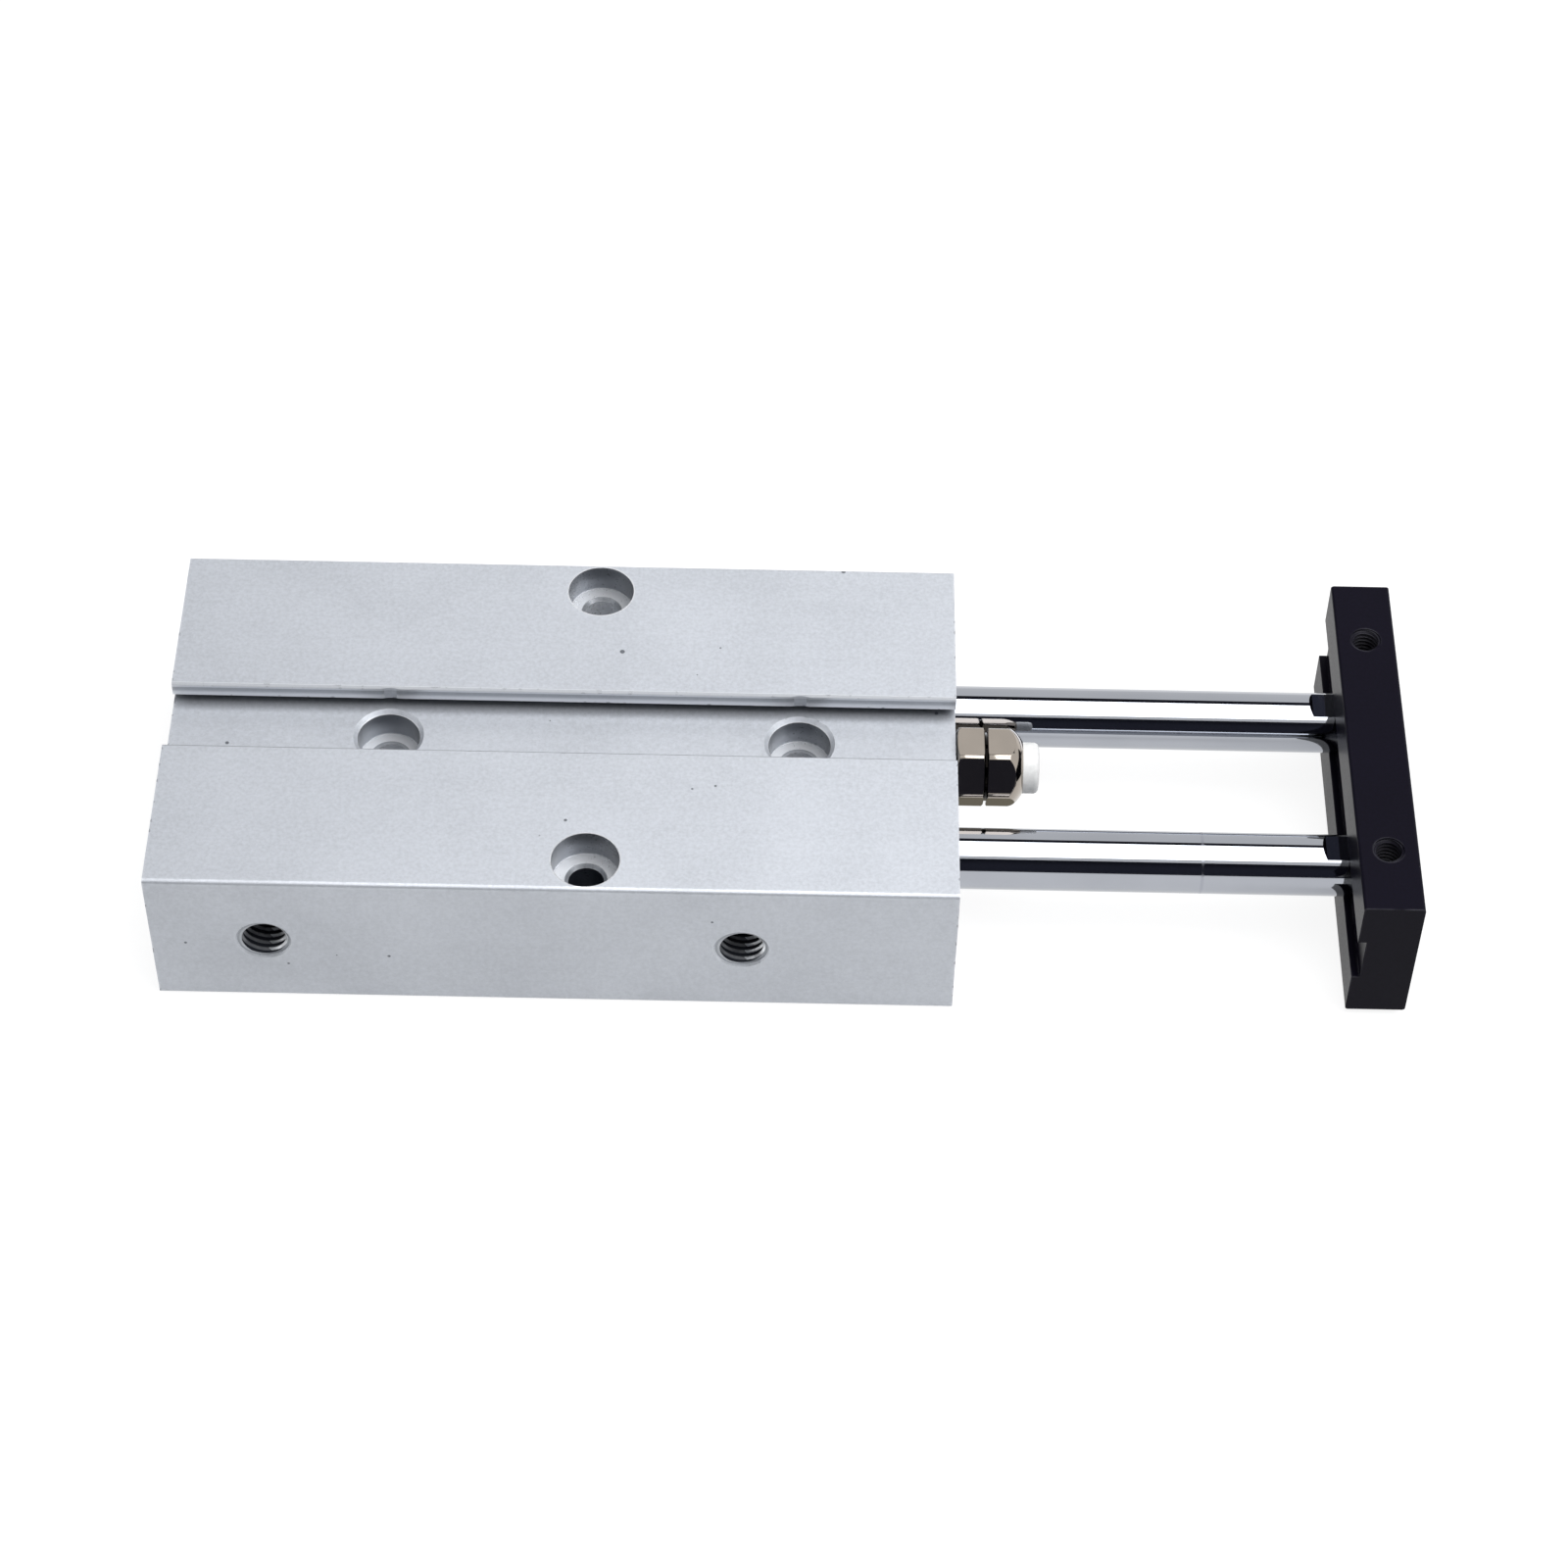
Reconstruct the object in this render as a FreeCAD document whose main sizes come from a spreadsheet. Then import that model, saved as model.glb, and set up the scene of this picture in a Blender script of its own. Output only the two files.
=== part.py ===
"""Twin-rod guided pneumatic cylinder, 10 mm bores with 30 mm stroke, as a parametric FreeCAD document.

The row's origin lies on the barrel's base, under the middle of its four mounting holes. +X points
along the rods to the tool plate, +Z up through the face with the T-slot. The rods are fully out.
Pieces on the bore axes are drawn about their own X axis, with x = 0 at the barrel's front face.
"""
import FreeCAD, Part
import os

import Sketcher
from FreeCAD import Vector

# Driving dimensions in millimetres. Diameters unless the name says otherwise.
SIZES = {
    # Barrel: extruded block, machined all round.
    "barrel_width": 42,
    "barrel_height": 17,
    "block_edge": 0.5,
    "rod_pitch": 18.4,
    "bore": 10,
    "seat": 11,
    "front_seat_depth": 17.5,
    "rear_seat_depth": 7.6,
    "slot_opening": 7.7,
    "slot_width": 10.2,
    "slot_lip": 1.55,
    "slot_depth": 2.6,
    "slot_edge": 0.2,
    "mount_hole": 3.4,
    "counterbore": 6.5,
    "counterbore_depth": 3,
    "hole_chamfer": 0.3,
    "slot_counterbore": 6.1,
    "slot_counterbore_depth": 3.25,
    "cutter_relief": 7.9,
    "mount_pitch_along": 40,
    "mount_pitch_across": 34.6,
    "mount_setback": 35.2,
    "rim_chamfer": 0.4,
    "port": 5,
    "port_depth": 4.8,
    "port_chamfer": 0.15,
    "port_drill": 2.2,
    "front_port_offset": 2.9,
    "rear_port_offset": 3.1,
    # Retaining rings at both ends of each bore.
    "clip_inset": 0.8,
    "clip_groove_width": 1.1,
    "clip_groove": 11.6,
    "clip_thickness": 1,
    "clip_band": 0.75,
    "clip_lug": 1.7,
    "clip_lug_hole": 0.9,
    "clip_gap": 3.2,
    # Rod cover with its bush, seal and bumper.
    "bush": 8,
    "bush_length": 15,
    "seal_pocket": 9,
    "seal_pocket_depth": 2.2,
    "seal_waist": 7.5,
    "land_width": 0.8,
    "nose": 9,
    "front_nose_length": 4.1,
    "rear_nose_length": 3.2,
    "ring_groove_width": 1.4,
    "ring_groove_depth": 0.8,
    "ring_setback": 5.5,
    "bumper_thickness": 2.4,
    "bumper_bore": 6.6,
    "bumper_stem": 2.4,
    "bumper_stem_length": 2,
    # Piston and rod.
    "stroke": 30,
    "rod": 6,
    "rod_spigot": 4.4,
    "piston_length": 9.2,
    "piston_clearance": 0.09,
    "seal_groove_width": 2,
    "seal_groove_depth": 1.25,
    "magnet_width": 2.4,
    "magnet_depth": 1.45,
    "wear_groove_width": 1.4,
    "wear_groove_depth": 0.75,
    "groove_land": 0.9,
    "screw": 3,
    "screw_head": 5.5,
    "turned_edge": 0.35,
    "piston_screw_head_height": 2,
    "head_recess": 0.2,
    "socket": 2.5,
    "screw_length": 6,
    "rod_thread_depth": 9,
    "flat_across": 5.2,
    "flat_length": 2.1,
    "flat_runout": 0.4,
    # Tool plate and its screws.
    "plate_thickness": 5.8,
    "plate_width": 41.5,
    "plate_height": 15.4,
    "plate_groove_depth": 0.8,
    "plate_edge_radius": 0.3,
    "plate_screw_head_height": 3,
    "top_hole_pitch": 27,
    "top_hole_depth": 5,
    "tool_hole_pitch_across": 34,
    "tool_hole_pitch_up": 9.2,
    "tool_hole_depth": 4.5,
    # Stop bolt, its lock nut and its plastic bumper.
    "stop_rise": 2.9,
    "stop_thread": 4,
    "stop_hole_depth": 10.5,
    "stop_engagement": 8.5,
    "hex_across_flats": 7,
    "hex_turn": 57,
    "hex_face": 6.3,
    "hex_cone": 30,
    "lock_nut_thickness": 2.8,
    "stop_head_gap": 0.25,
    "stop_head_thickness": 3.5,
    "stop_nose": 5.7,
    "stop_nose_cone": 50,
    "stop_setting": 0.4,
    "stop_bumper": 5,
    "stop_bumper_height": 1.6,
    "stop_bumper_edge": 0.5,
    "stop_bumper_stem": 2.6,
    "stop_bumper_stem_length": 2.2,
    # Clearances, all on the radius or the length of one gap.
    "running_clearance": 0.03,
    "seat_clearance": 0.02,
    "end_clearance": 0.05,
    "screw_clearance": 0.25,
}

# Lengths that follow from the driving dimensions, as formulas over the sheet.
AXIS_HEIGHT = "Sizes.barrel_height / 2"
STOP_HEIGHT = f"({AXIS_HEIGHT} + Sizes.stop_rise)"
PISTON_FRONT = ("(Sizes.front_seat_depth + Sizes.front_nose_length + Sizes.bumper_thickness"
                " + Sizes.end_clearance)")
PISTON_REAR = f"({PISTON_FRONT} + Sizes.piston_length)"
REAR_BUMPER_FACE = f"({PISTON_REAR} + Sizes.stroke + Sizes.end_clearance)"
REAR_NOSE_FACE = f"({REAR_BUMPER_FACE} + Sizes.bumper_thickness)"
REAR_SHOULDER = f"({REAR_NOSE_FACE} + Sizes.rear_nose_length)"
BARREL_LENGTH = f"({REAR_SHOULDER} + Sizes.rear_seat_depth)"
CLIP_DEPTH = "(Sizes.clip_inset + Sizes.clip_groove_width)"
STOP_HEAD_BACK = "(Sizes.end_clearance + Sizes.lock_nut_thickness + Sizes.stop_head_gap)"
STOP_HEAD_FRONT = f"({STOP_HEAD_BACK} + Sizes.stop_head_thickness)"
STOP_REACH = f"({STOP_HEAD_FRONT} + Sizes.stop_bumper_height)"
# The stop bolt stands out by its setting, so the plate lands on it before the pistons reach the rear.
PLATE_BACK = f"({STOP_REACH} + Sizes.stroke - Sizes.stop_setting + 2 * Sizes.end_clearance)"
ROD_END = f"({PLATE_BACK} + Sizes.plate_groove_depth)"
PLATE_FRONT = f"({PLATE_BACK} + Sizes.plate_thickness)"
PLATE_COUNTERBORE_DEPTH = "(Sizes.plate_screw_head_height + Sizes.head_recess)"
PLATE_SCREW_SEAT = f"({PLATE_FRONT} - {PLATE_COUNTERBORE_DEPTH})"
# The end cap fills the rear seat from the shoulder to the circlip.
END_CAP_LENGTH = f"(Sizes.rear_seat_depth - {CLIP_DEPTH})"
END_CAP_MIDDLE = f"({END_CAP_LENGTH} / 2)"
# The recess in the piston's rear face takes the screw's head below the surface.
PISTON_RECESS = "(Sizes.piston_screw_head_height + Sizes.head_recess)"
PISTON_RADIUS = "(Sizes.bore / 2 - Sizes.piston_clearance)"
# The piston's grooves, from its front face: seal, magnet, then wear ring.
SEAL_GROOVE = f"({PISTON_FRONT} + Sizes.groove_land)"
MAGNET_GROOVE = f"({SEAL_GROOVE} + Sizes.seal_groove_width + Sizes.groove_land)"
WEAR_GROOVE = f"({MAGNET_GROOVE} + Sizes.magnet_width + Sizes.groove_land / 2)"
SIDES = {"left": 1, "right": -1}


def new_document():
    """The document and its sheet of driving dimensions."""
    document = FreeCAD.newDocument("guided_cylinder")
    sheet = document.addObject("Spreadsheet::Sheet", "Sizes")
    for row, (alias, value) in enumerate(SIZES.items(), start=1):
        sheet.set(f"A{row}", alias)
        sheet.set(f"B{row}", str(value))
        sheet.setAlias(f"B{row}", alias)
    document.recompute()
    return document


doc = new_document()


def new_body(label, side=0, height=AXIS_HEIGHT):
    """A body whose x = 0 lies in the barrel's front face; side picks the left or the right axis."""
    body = doc.addObject("PartDesign::Body", label)
    body.Label = label
    body.setExpression("Placement.Base.x", "Sizes.mount_setback")
    body.setExpression("Placement.Base.y", f"{side} * Sizes.rod_pitch / 2")
    body.setExpression("Placement.Base.z", height)
    return body


def new_sketch(body, plane, offset="0"):
    """An empty sketch on one of the body's own planes, moved along the plane's normal."""
    sketch = body.newObject("Sketcher::SketchObject", f"{body.Name}_sketch")
    sketch.AttachmentSupport = [(origin_plane(body, plane), "")]
    sketch.MapMode = "FlatFace"
    sketch.setExpression("AttachmentOffset.Base.z", offset)
    return sketch


def origin_plane(body, role):
    return next(item for item in body.Origin.OriginFeatures if item.Role == role)


def hold(sketch, kind, element, point, formula):
    """Ties one point of the sketch to the sketch's origin with a formula."""
    value = float(sketch.evalExpression(formula))
    number = sketch.addConstraint(Sketcher.Constraint(kind, -1, 1, element, point, value))
    sketch.setExpression(f"Constraints[{number}]", formula)


def draw_outline(sketch, corners):
    """A closed outline of straight lines through corners given as pairs of formulas."""
    places = [Vector(float(sketch.evalExpression(across)), float(sketch.evalExpression(up)), 0)
              for across, up in corners]
    first = sketch.GeometryCount
    for index, place in enumerate(places):
        following = places[(index + 1) % len(places)]
        sketch.addGeometry(Part.LineSegment(place, following))
    for index, (across, up) in enumerate(corners):
        line = first + index
        next_line = first + (index + 1) % len(corners)
        sketch.addConstraint(Sketcher.Constraint("Coincident", line, 2, next_line, 1))
        hold(sketch, "DistanceX", line, 1, across)
        hold(sketch, "DistanceY", line, 1, up)


def draw_circle(sketch, across, up, diameter):
    """A circle whose centre and diameter are formulas."""
    middle = Vector(float(sketch.evalExpression(across)), float(sketch.evalExpression(up)), 0)
    width = float(sketch.evalExpression(diameter))
    circle = sketch.addGeometry(Part.Circle(middle, Vector(0, 0, 1), width / 2))
    hold(sketch, "DistanceX", circle, 3, across)
    hold(sketch, "DistanceY", circle, 3, up)
    number = sketch.addConstraint(Sketcher.Constraint("Diameter", circle, width))
    sketch.setExpression(f"Constraints[{number}]", diameter)


def draw_hexagon(sketch, across_flats, turn="0", up="0"):
    """A regular hexagon about (0, up), its first corner turned from the sketch's x axis."""
    corners = []
    for index in range(6):
        angle = f"({turn} + {60 * index}) * 1deg"
        across_formula = f"({across_flats}) / sqrt(3) * cos({angle})"
        corners.append((across_formula, f"({up}) + ({across_flats}) / sqrt(3) * sin({angle})"))
    draw_outline(sketch, corners)


def pad(body, sketch, length, reversed_side=False, symmetric=False):
    feature = body.newObject("PartDesign::Pad", f"{body.Name}_pad")
    feature.Profile = sketch
    feature.setExpression("Length", length)
    feature.Reversed = reversed_side
    if symmetric:
        feature.SideType = "Symmetric"
    sketch.Visibility = False
    return feature


def pocket(body, sketch, length, reversed_side=False, symmetric=False):
    """Cuts against the sketch's normal, or along it when reversed, and makes sure that it cut."""
    doc.recompute()
    before = body.Shape.Volume
    feature = body.newObject("PartDesign::Pocket", f"{body.Name}_pocket")
    feature.Profile = sketch
    feature.setExpression("Length", length)
    feature.Reversed = reversed_side
    if symmetric:
        feature.SideType = "Symmetric"
    doc.recompute()
    if body.Shape.Volume >= before:
        raise RuntimeError(f"{feature.Name} removed nothing from {body.Label}")
    return feature


def revolve(body, outline):
    """Turns an outline of (x, radius) formulas about the body's X axis."""
    sketch = new_sketch(body, "XZ_Plane")
    draw_outline(sketch, outline)
    feature = body.newObject("PartDesign::Revolution", f"{body.Name}_turning")
    feature.Profile = sketch
    feature.ReferenceAxis = (sketch, ["H_Axis"])
    feature.Angle = 360
    return feature


def dress(body, kind, formula, chosen):
    """Adds a fillet or a chamfer on the edges of the body's shape that the test picks."""
    doc.recompute()
    tip = body.Tip
    names = [f"Edge{number}" for number, edge in enumerate(tip.Shape.Edges, start=1) if chosen(edge)]
    if not names:
        raise RuntimeError(f"no edge to dress on {body.Label}")
    feature = body.newObject(f"PartDesign::{kind}", f"{body.Name}_{kind.lower()}")
    feature.Base = (tip, names)
    feature.setExpression("Radius" if kind == "Fillet" else "Size", formula)
    return feature


def number_of(formula):
    """The value of a formula over the sheet, in millimetres."""
    return float(doc.Sizes.evalExpression(formula.replace("Sizes.", "")))


def close(first, second):
    return abs(first - second) < 1e-4


ALONG, ACROSS, UP = range(3)


def is_rim(edge, diameter, axis, level):
    """True for a round edge of this diameter that lies at this level along an axis."""
    curve = edge.Curve
    return (isinstance(curve, Part.Circle) and close(curve.Radius * 2, diameter)
            and close(curve.Center[axis], level) and edge.Length > 1.5 * diameter)


def ring_outline(front, rear, inner, outer):
    """The (x, radius) corners of a plain ring; front and rear are depths behind x = 0."""
    return [(f"-{front}", inner), (f"-{front}", outer), (f"-{rear}", outer), (f"-{rear}", inner)]


def make_barrel():
    """Aluminium block with two stepped bores, a T-slot, four mounting holes and two air ports."""
    body = new_body("barrel", height="0")
    half_width = "Sizes.barrel_width / 2"
    top = "Sizes.barrel_height"
    floor = "(Sizes.barrel_height - Sizes.slot_depth)"
    lip = "Sizes.barrel_height - Sizes.slot_lip"
    half_slot = "Sizes.slot_width / 2"
    half_opening = "Sizes.slot_opening / 2"
    section = new_sketch(body, "YZ_Plane")
    right_half = [(half_width, "0"), (half_width, top), (f"{half_opening} + Sizes.slot_edge", top),
                  (half_opening, f"{top} - Sizes.slot_edge"), (half_opening, lip), (half_slot, lip),
                  (half_slot, floor)]
    left_half = [(f"-({across})", up) for across, up in reversed(right_half)]
    draw_outline(section, right_half + left_half)
    pad(body, section, BARREL_LENGTH, reversed_side=True)
    dress(body, "Fillet", "Sizes.block_edge", is_long_outer_edge)

    bore_rings = [(BARREL_LENGTH, "Sizes.bore", "0"),
                  ("Sizes.front_seat_depth", "Sizes.seat", "0"),
                  ("Sizes.rear_seat_depth", "Sizes.seat", f"-{REAR_SHOULDER}"),
                  ("Sizes.clip_groove_width", "Sizes.clip_groove", "-Sizes.clip_inset"),
                  ("Sizes.clip_groove_width", "Sizes.clip_groove", f"-({BARREL_LENGTH} - {CLIP_DEPTH})")]
    for length, diameter, start in bore_rings:
        section = new_sketch(body, "YZ_Plane", start)
        for side in SIDES.values():
            draw_circle(section, f"{side} * Sizes.rod_pitch / 2", AXIS_HEIGHT, diameter)
        pocket(body, section, length)

    stop_hole = new_sketch(body, "YZ_Plane")
    draw_circle(stop_hole, "0", STOP_HEIGHT, "Sizes.stop_thread")
    pocket(body, stop_hole, "Sizes.stop_hole_depth")

    side_places = [("-Sizes.mount_setback", f"{side} * Sizes.mount_pitch_across / 2") for side in (1, -1)]
    slot_places = [(f"-Sizes.mount_setback + {way} * Sizes.mount_pitch_along / 2", "0") for way in (1, -1)]
    slot_step = "(Sizes.slot_depth + Sizes.slot_counterbore_depth)"
    mount_cuts = [(side_places + slot_places, "Sizes.mount_hole", top),
                  (side_places, "Sizes.counterbore", "Sizes.counterbore_depth"),
                  (slot_places, "Sizes.cutter_relief", "Sizes.slot_depth"),
                  (slot_places, "Sizes.slot_counterbore", slot_step)]
    for places, diameter, depth in mount_cuts:
        sketch = new_sketch(body, "XY_Plane", top)
        for across, up in places:
            draw_circle(sketch, across, up, diameter)
        pocket(body, sketch, depth)

    port_places = ["-(Sizes.front_seat_depth + Sizes.front_port_offset)",
                   f"-({REAR_SHOULDER} - Sizes.rear_port_offset)"]
    port_steps = [("Sizes.port", "Sizes.port_depth"),
                  ("Sizes.port_drill", f"({half_width} + Sizes.rod_pitch / 2)")]
    for diameter, depth in port_steps:
        sketch = new_sketch(body, "XZ_Plane", half_width)
        for across in port_places:
            draw_circle(sketch, across, AXIS_HEIGHT, diameter)
        pocket(body, sketch, depth)

    rims = [("Sizes.rim_chamfer", "Sizes.slot_counterbore", UP, floor),
            ("Sizes.hole_chamfer", "Sizes.mount_hole", UP, f"({top} - Sizes.counterbore_depth)"),
            ("Sizes.port_chamfer", "Sizes.port", ACROSS, f"-{half_width}")]
    for chamfer, diameter, axis, level in rims:
        width, place = number_of(diameter), number_of(level)
        dress(body, "Chamfer", chamfer, lambda edge: is_rim(edge, width, axis, place))
    return body


def is_long_outer_edge(edge):
    """True for the block's four long corners, not for the edges of the T-slot."""
    middle = edge.CenterOfMass
    half_width = number_of("Sizes.barrel_width / 2")
    return close(abs(middle.y), half_width) and close(edge.Length, number_of(BARREL_LENGTH))


def make_rod_cover(name, side):
    """Turned gland that closes the bore's front and carries the bush, the rod seal and an O-ring."""
    body = new_body(f"rod_cover_{name}", side)
    outer = "(Sizes.seat / 2 - Sizes.seat_clearance)"
    groove = f"({outer} - Sizes.ring_groove_depth)"
    groove_front = "(Sizes.front_seat_depth - Sizes.ring_setback)"
    groove_rear = f"({groove_front} + Sizes.ring_groove_width)"
    nose_end = "(Sizes.front_seat_depth + Sizes.front_nose_length)"
    pocket_floor = f"({CLIP_DEPTH} + Sizes.seal_pocket_depth)"
    land_end = f"({pocket_floor} + Sizes.land_width)"
    pocket_radius = "Sizes.seal_pocket / 2"
    land_radius = "(Sizes.rod / 2 + Sizes.screw_clearance)"
    revolve(body, [(f"-{CLIP_DEPTH}", outer), (f"-{groove_front}", outer), (f"-{groove_front}", groove),
                   (f"-{groove_rear}", groove), (f"-{groove_rear}", outer),
                   ("-Sizes.front_seat_depth", outer), ("-Sizes.front_seat_depth", "Sizes.nose / 2"),
                   (f"-{nose_end}", "Sizes.nose / 2"), (f"-{nose_end}", "Sizes.bush / 2"),
                   (f"-{land_end}", "Sizes.bush / 2"), (f"-{land_end}", land_radius),
                   (f"-{pocket_floor}", land_radius), (f"-{pocket_floor}", pocket_radius),
                   (f"-{CLIP_DEPTH}", pocket_radius)])
    return body


def make_guide_bush(name, side):
    """Plain bronze bush pressed into the rod cover, which guides the rod."""
    body = new_body(f"guide_bush_{name}", side)
    front = f"({CLIP_DEPTH} + Sizes.seal_pocket_depth + Sizes.land_width)"
    rear = f"({front} + Sizes.bush_length)"
    revolve(body, ring_outline(front, rear, "Sizes.rod / 2 + Sizes.running_clearance",
                               "Sizes.bush / 2 - Sizes.seat_clearance"))
    return body


def make_rod_seal(name, side):
    """Rubber lip seal in the cover's front pocket; its lip bears on the rod and leans outwards."""
    body = new_body(f"rod_seal_{name}", side)
    outer = "Sizes.seal_pocket / 2 - Sizes.seat_clearance"
    lip = "Sizes.rod / 2 + Sizes.running_clearance"
    rear = f"({CLIP_DEPTH} + Sizes.seal_pocket_depth)"
    throat = f"({CLIP_DEPTH} + Sizes.seal_pocket_depth / 2)"
    shelf = f"({CLIP_DEPTH} + Sizes.seal_pocket_depth / 4)"
    waist = "Sizes.seal_waist / 2"
    revolve(body, [(f"-{rear}", waist), (f"-{rear}", outer), (f"-{shelf}", outer),
                   (f"-{throat}", waist), (f"-{CLIP_DEPTH}", lip)])
    return body


def squeezed_ring(label, side, middle_depth, inner, outer, width):
    """An O-ring as it sits in its groove: flattened inside and out, with sloped shoulders."""
    body = new_body(label, side)
    half = f"({width}) / 2"
    flat = f"({width}) / 4"
    waist = f"(({inner}) + ({outer})) / 2"
    revolve(body, [(f"-({middle_depth} - {flat})", outer), (f"-({middle_depth} + {flat})", outer),
                   (f"-({middle_depth} + {half})", waist), (f"-({middle_depth} + {flat})", inner),
                   (f"-({middle_depth} - {flat})", inner), (f"-({middle_depth} - {half})", waist)])
    return body


def make_cover_o_ring(name, side):
    """Static seal between the rod cover and the barrel."""
    middle = "(Sizes.front_seat_depth - Sizes.ring_setback + Sizes.ring_groove_width / 2)"
    return seat_ring(f"cover_o_ring_{name}", side, middle)


def make_end_cap_o_ring(name, side):
    """Static seal between the end cap and the barrel."""
    return seat_ring(f"end_cap_o_ring_{name}", side, f"({REAR_SHOULDER} + {END_CAP_MIDDLE})")


def seat_ring(label, side, middle):
    """The O-ring in the groove of a cover or a cap."""
    outer = "Sizes.seat / 2 - Sizes.seat_clearance"
    inner = f"{outer} - Sizes.ring_groove_depth + Sizes.seat_clearance"
    width = "Sizes.ring_groove_width - 2 * Sizes.end_clearance"
    return squeezed_ring(label, side, middle, inner, outer, width)


def make_front_bumper(name, side):
    """Rubber ring behind the rod cover, which the piston meets at full reach."""
    body = new_body(f"front_bumper_{name}", side)
    front = "(Sizes.front_seat_depth + Sizes.front_nose_length)"
    rear = f"({front} + Sizes.bumper_thickness)"
    revolve(body, ring_outline(front, rear, "Sizes.bumper_bore / 2", "Sizes.nose / 2"))
    return body


def make_end_cap(name, side):
    """Turned plug that closes the bore's rear; its nose holds the rear bumper."""
    body = new_body(f"end_cap_{name}", side)
    outer = "(Sizes.seat / 2 - Sizes.seat_clearance)"
    groove = f"({outer} - Sizes.ring_groove_depth)"
    groove_front = f"({REAR_SHOULDER} + {END_CAP_MIDDLE} - Sizes.ring_groove_width / 2)"
    groove_rear = f"({groove_front} + Sizes.ring_groove_width)"
    rear = f"({REAR_SHOULDER} + {END_CAP_LENGTH})"
    stem_end = f"({REAR_NOSE_FACE} + Sizes.bumper_stem_length + Sizes.end_clearance)"
    stem_radius = "(Sizes.bumper_stem / 2 + Sizes.seat_clearance)"
    revolve(body, [(f"-{REAR_NOSE_FACE}", stem_radius), (f"-{REAR_NOSE_FACE}", "Sizes.nose / 2"),
                   (f"-{REAR_SHOULDER}", "Sizes.nose / 2"), (f"-{REAR_SHOULDER}", outer),
                   (f"-{groove_front}", outer), (f"-{groove_front}", groove),
                   (f"-{groove_rear}", groove), (f"-{groove_rear}", outer),
                   (f"-{rear}", outer), (f"-{rear}", "0"), (f"-{stem_end}", "0"),
                   (f"-{stem_end}", stem_radius)])
    return body


def make_rear_bumper(name, side):
    """Rubber button on the end cap's nose, which the piston meets when the rods are in."""
    body = new_body(f"rear_bumper_{name}", side)
    stem = "Sizes.bumper_stem / 2"
    stem_end = f"({REAR_NOSE_FACE} + Sizes.bumper_stem_length)"
    revolve(body, [(f"-{REAR_BUMPER_FACE}", "0"), (f"-{REAR_BUMPER_FACE}", "Sizes.nose / 2"),
                   (f"-{REAR_NOSE_FACE}", "Sizes.nose / 2"), (f"-{REAR_NOSE_FACE}", stem),
                   (f"-{stem_end}", stem), (f"-{stem_end}", "0")])
    return body


def make_circlip(label, side, start):
    """Internal retaining ring: an open band in the bore's groove, with two drilled lugs."""
    body = new_body(label, side)
    outer = "(Sizes.clip_groove - 2 * Sizes.end_clearance)"
    inner = f"({outer} - 2 * Sizes.clip_band)"
    lug_reach = f"({outer} - Sizes.clip_lug) / 2"
    lug_across = "(Sizes.clip_gap / 2 + Sizes.clip_lug / 4)"
    lug_up = f"-sqrt(({lug_reach}) ^ 2 - {lug_across} ^ 2)"
    band = new_sketch(body, "YZ_Plane", start)
    draw_circle(band, "0", "0", outer)
    draw_circle(band, "0", "0", inner)
    pad(body, band, "Sizes.clip_thickness", reversed_side=True)
    lugs = new_sketch(body, "YZ_Plane", start)
    for way in (1, -1):
        draw_circle(lugs, f"{way} * {lug_across}", lug_up, "Sizes.clip_lug")
    pad(body, lugs, "Sizes.clip_thickness", reversed_side=True)
    gap = new_sketch(body, "YZ_Plane", start)
    half_gap = "(Sizes.clip_gap / 2 - Sizes.clip_lug / 4)"
    far = "-Sizes.clip_groove"
    draw_outline(gap, [(f"-{half_gap}", "0"), (half_gap, "0"), (half_gap, far), (f"-{half_gap}", far)])
    pocket(body, gap, "Sizes.clip_thickness")
    holes = new_sketch(body, "YZ_Plane", start)
    for way in (1, -1):
        draw_circle(holes, f"{way} * {lug_across}", lug_up, "Sizes.clip_lug_hole")
    pocket(body, holes, "Sizes.clip_thickness")
    return body


def make_piston_rod(name, side):
    """Chromed steel rod, tapped at both ends, with a rear spigot for the piston and two flats in front."""
    body = new_body(f"piston_rod_{name}", side)
    radius = "Sizes.rod / 2"
    spigot = "Sizes.rod_spigot / 2"
    tapping = "Sizes.screw / 2"
    shoulder = f"-{PISTON_FRONT}"
    spigot_end = f"-({PISTON_REAR} - {PISTON_RECESS} - Sizes.end_clearance)"
    rear_tapping = f"(-{PISTON_REAR} + {PISTON_RECESS} + Sizes.rod_thread_depth)"
    front_tapping = f"({ROD_END} - Sizes.rod_thread_depth)"
    lead = "Sizes.turned_edge"
    revolve(body, [(spigot_end, tapping), (spigot_end, spigot), (shoulder, spigot), (shoulder, radius),
                   (f"{ROD_END} - {lead}", radius), (ROD_END, f"{radius} - {lead}"), (ROD_END, tapping),
                   (front_tapping, tapping), (front_tapping, "0"), (rear_tapping, "0"),
                   (rear_tapping, tapping)])
    flats = new_sketch(body, "XZ_Plane")
    flat_start = f"({PLATE_BACK} - Sizes.flat_length)"
    half_flat = "Sizes.flat_across / 2"
    for way in (1, -1):
        draw_outline(flats, [(f"{flat_start} - Sizes.flat_runout", f"{way} * Sizes.rod"),
                             (f"{flat_start} - Sizes.flat_runout", f"{way} * {radius}"),
                             (flat_start, f"{way} * {half_flat}"),
                             (f"{ROD_END} + Sizes.rod", f"{way} * {half_flat}"),
                             (f"{ROD_END} + Sizes.rod", f"{way} * Sizes.rod")])
    pocket(body, flats, "Sizes.rod * 2", symmetric=True)
    return body


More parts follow.
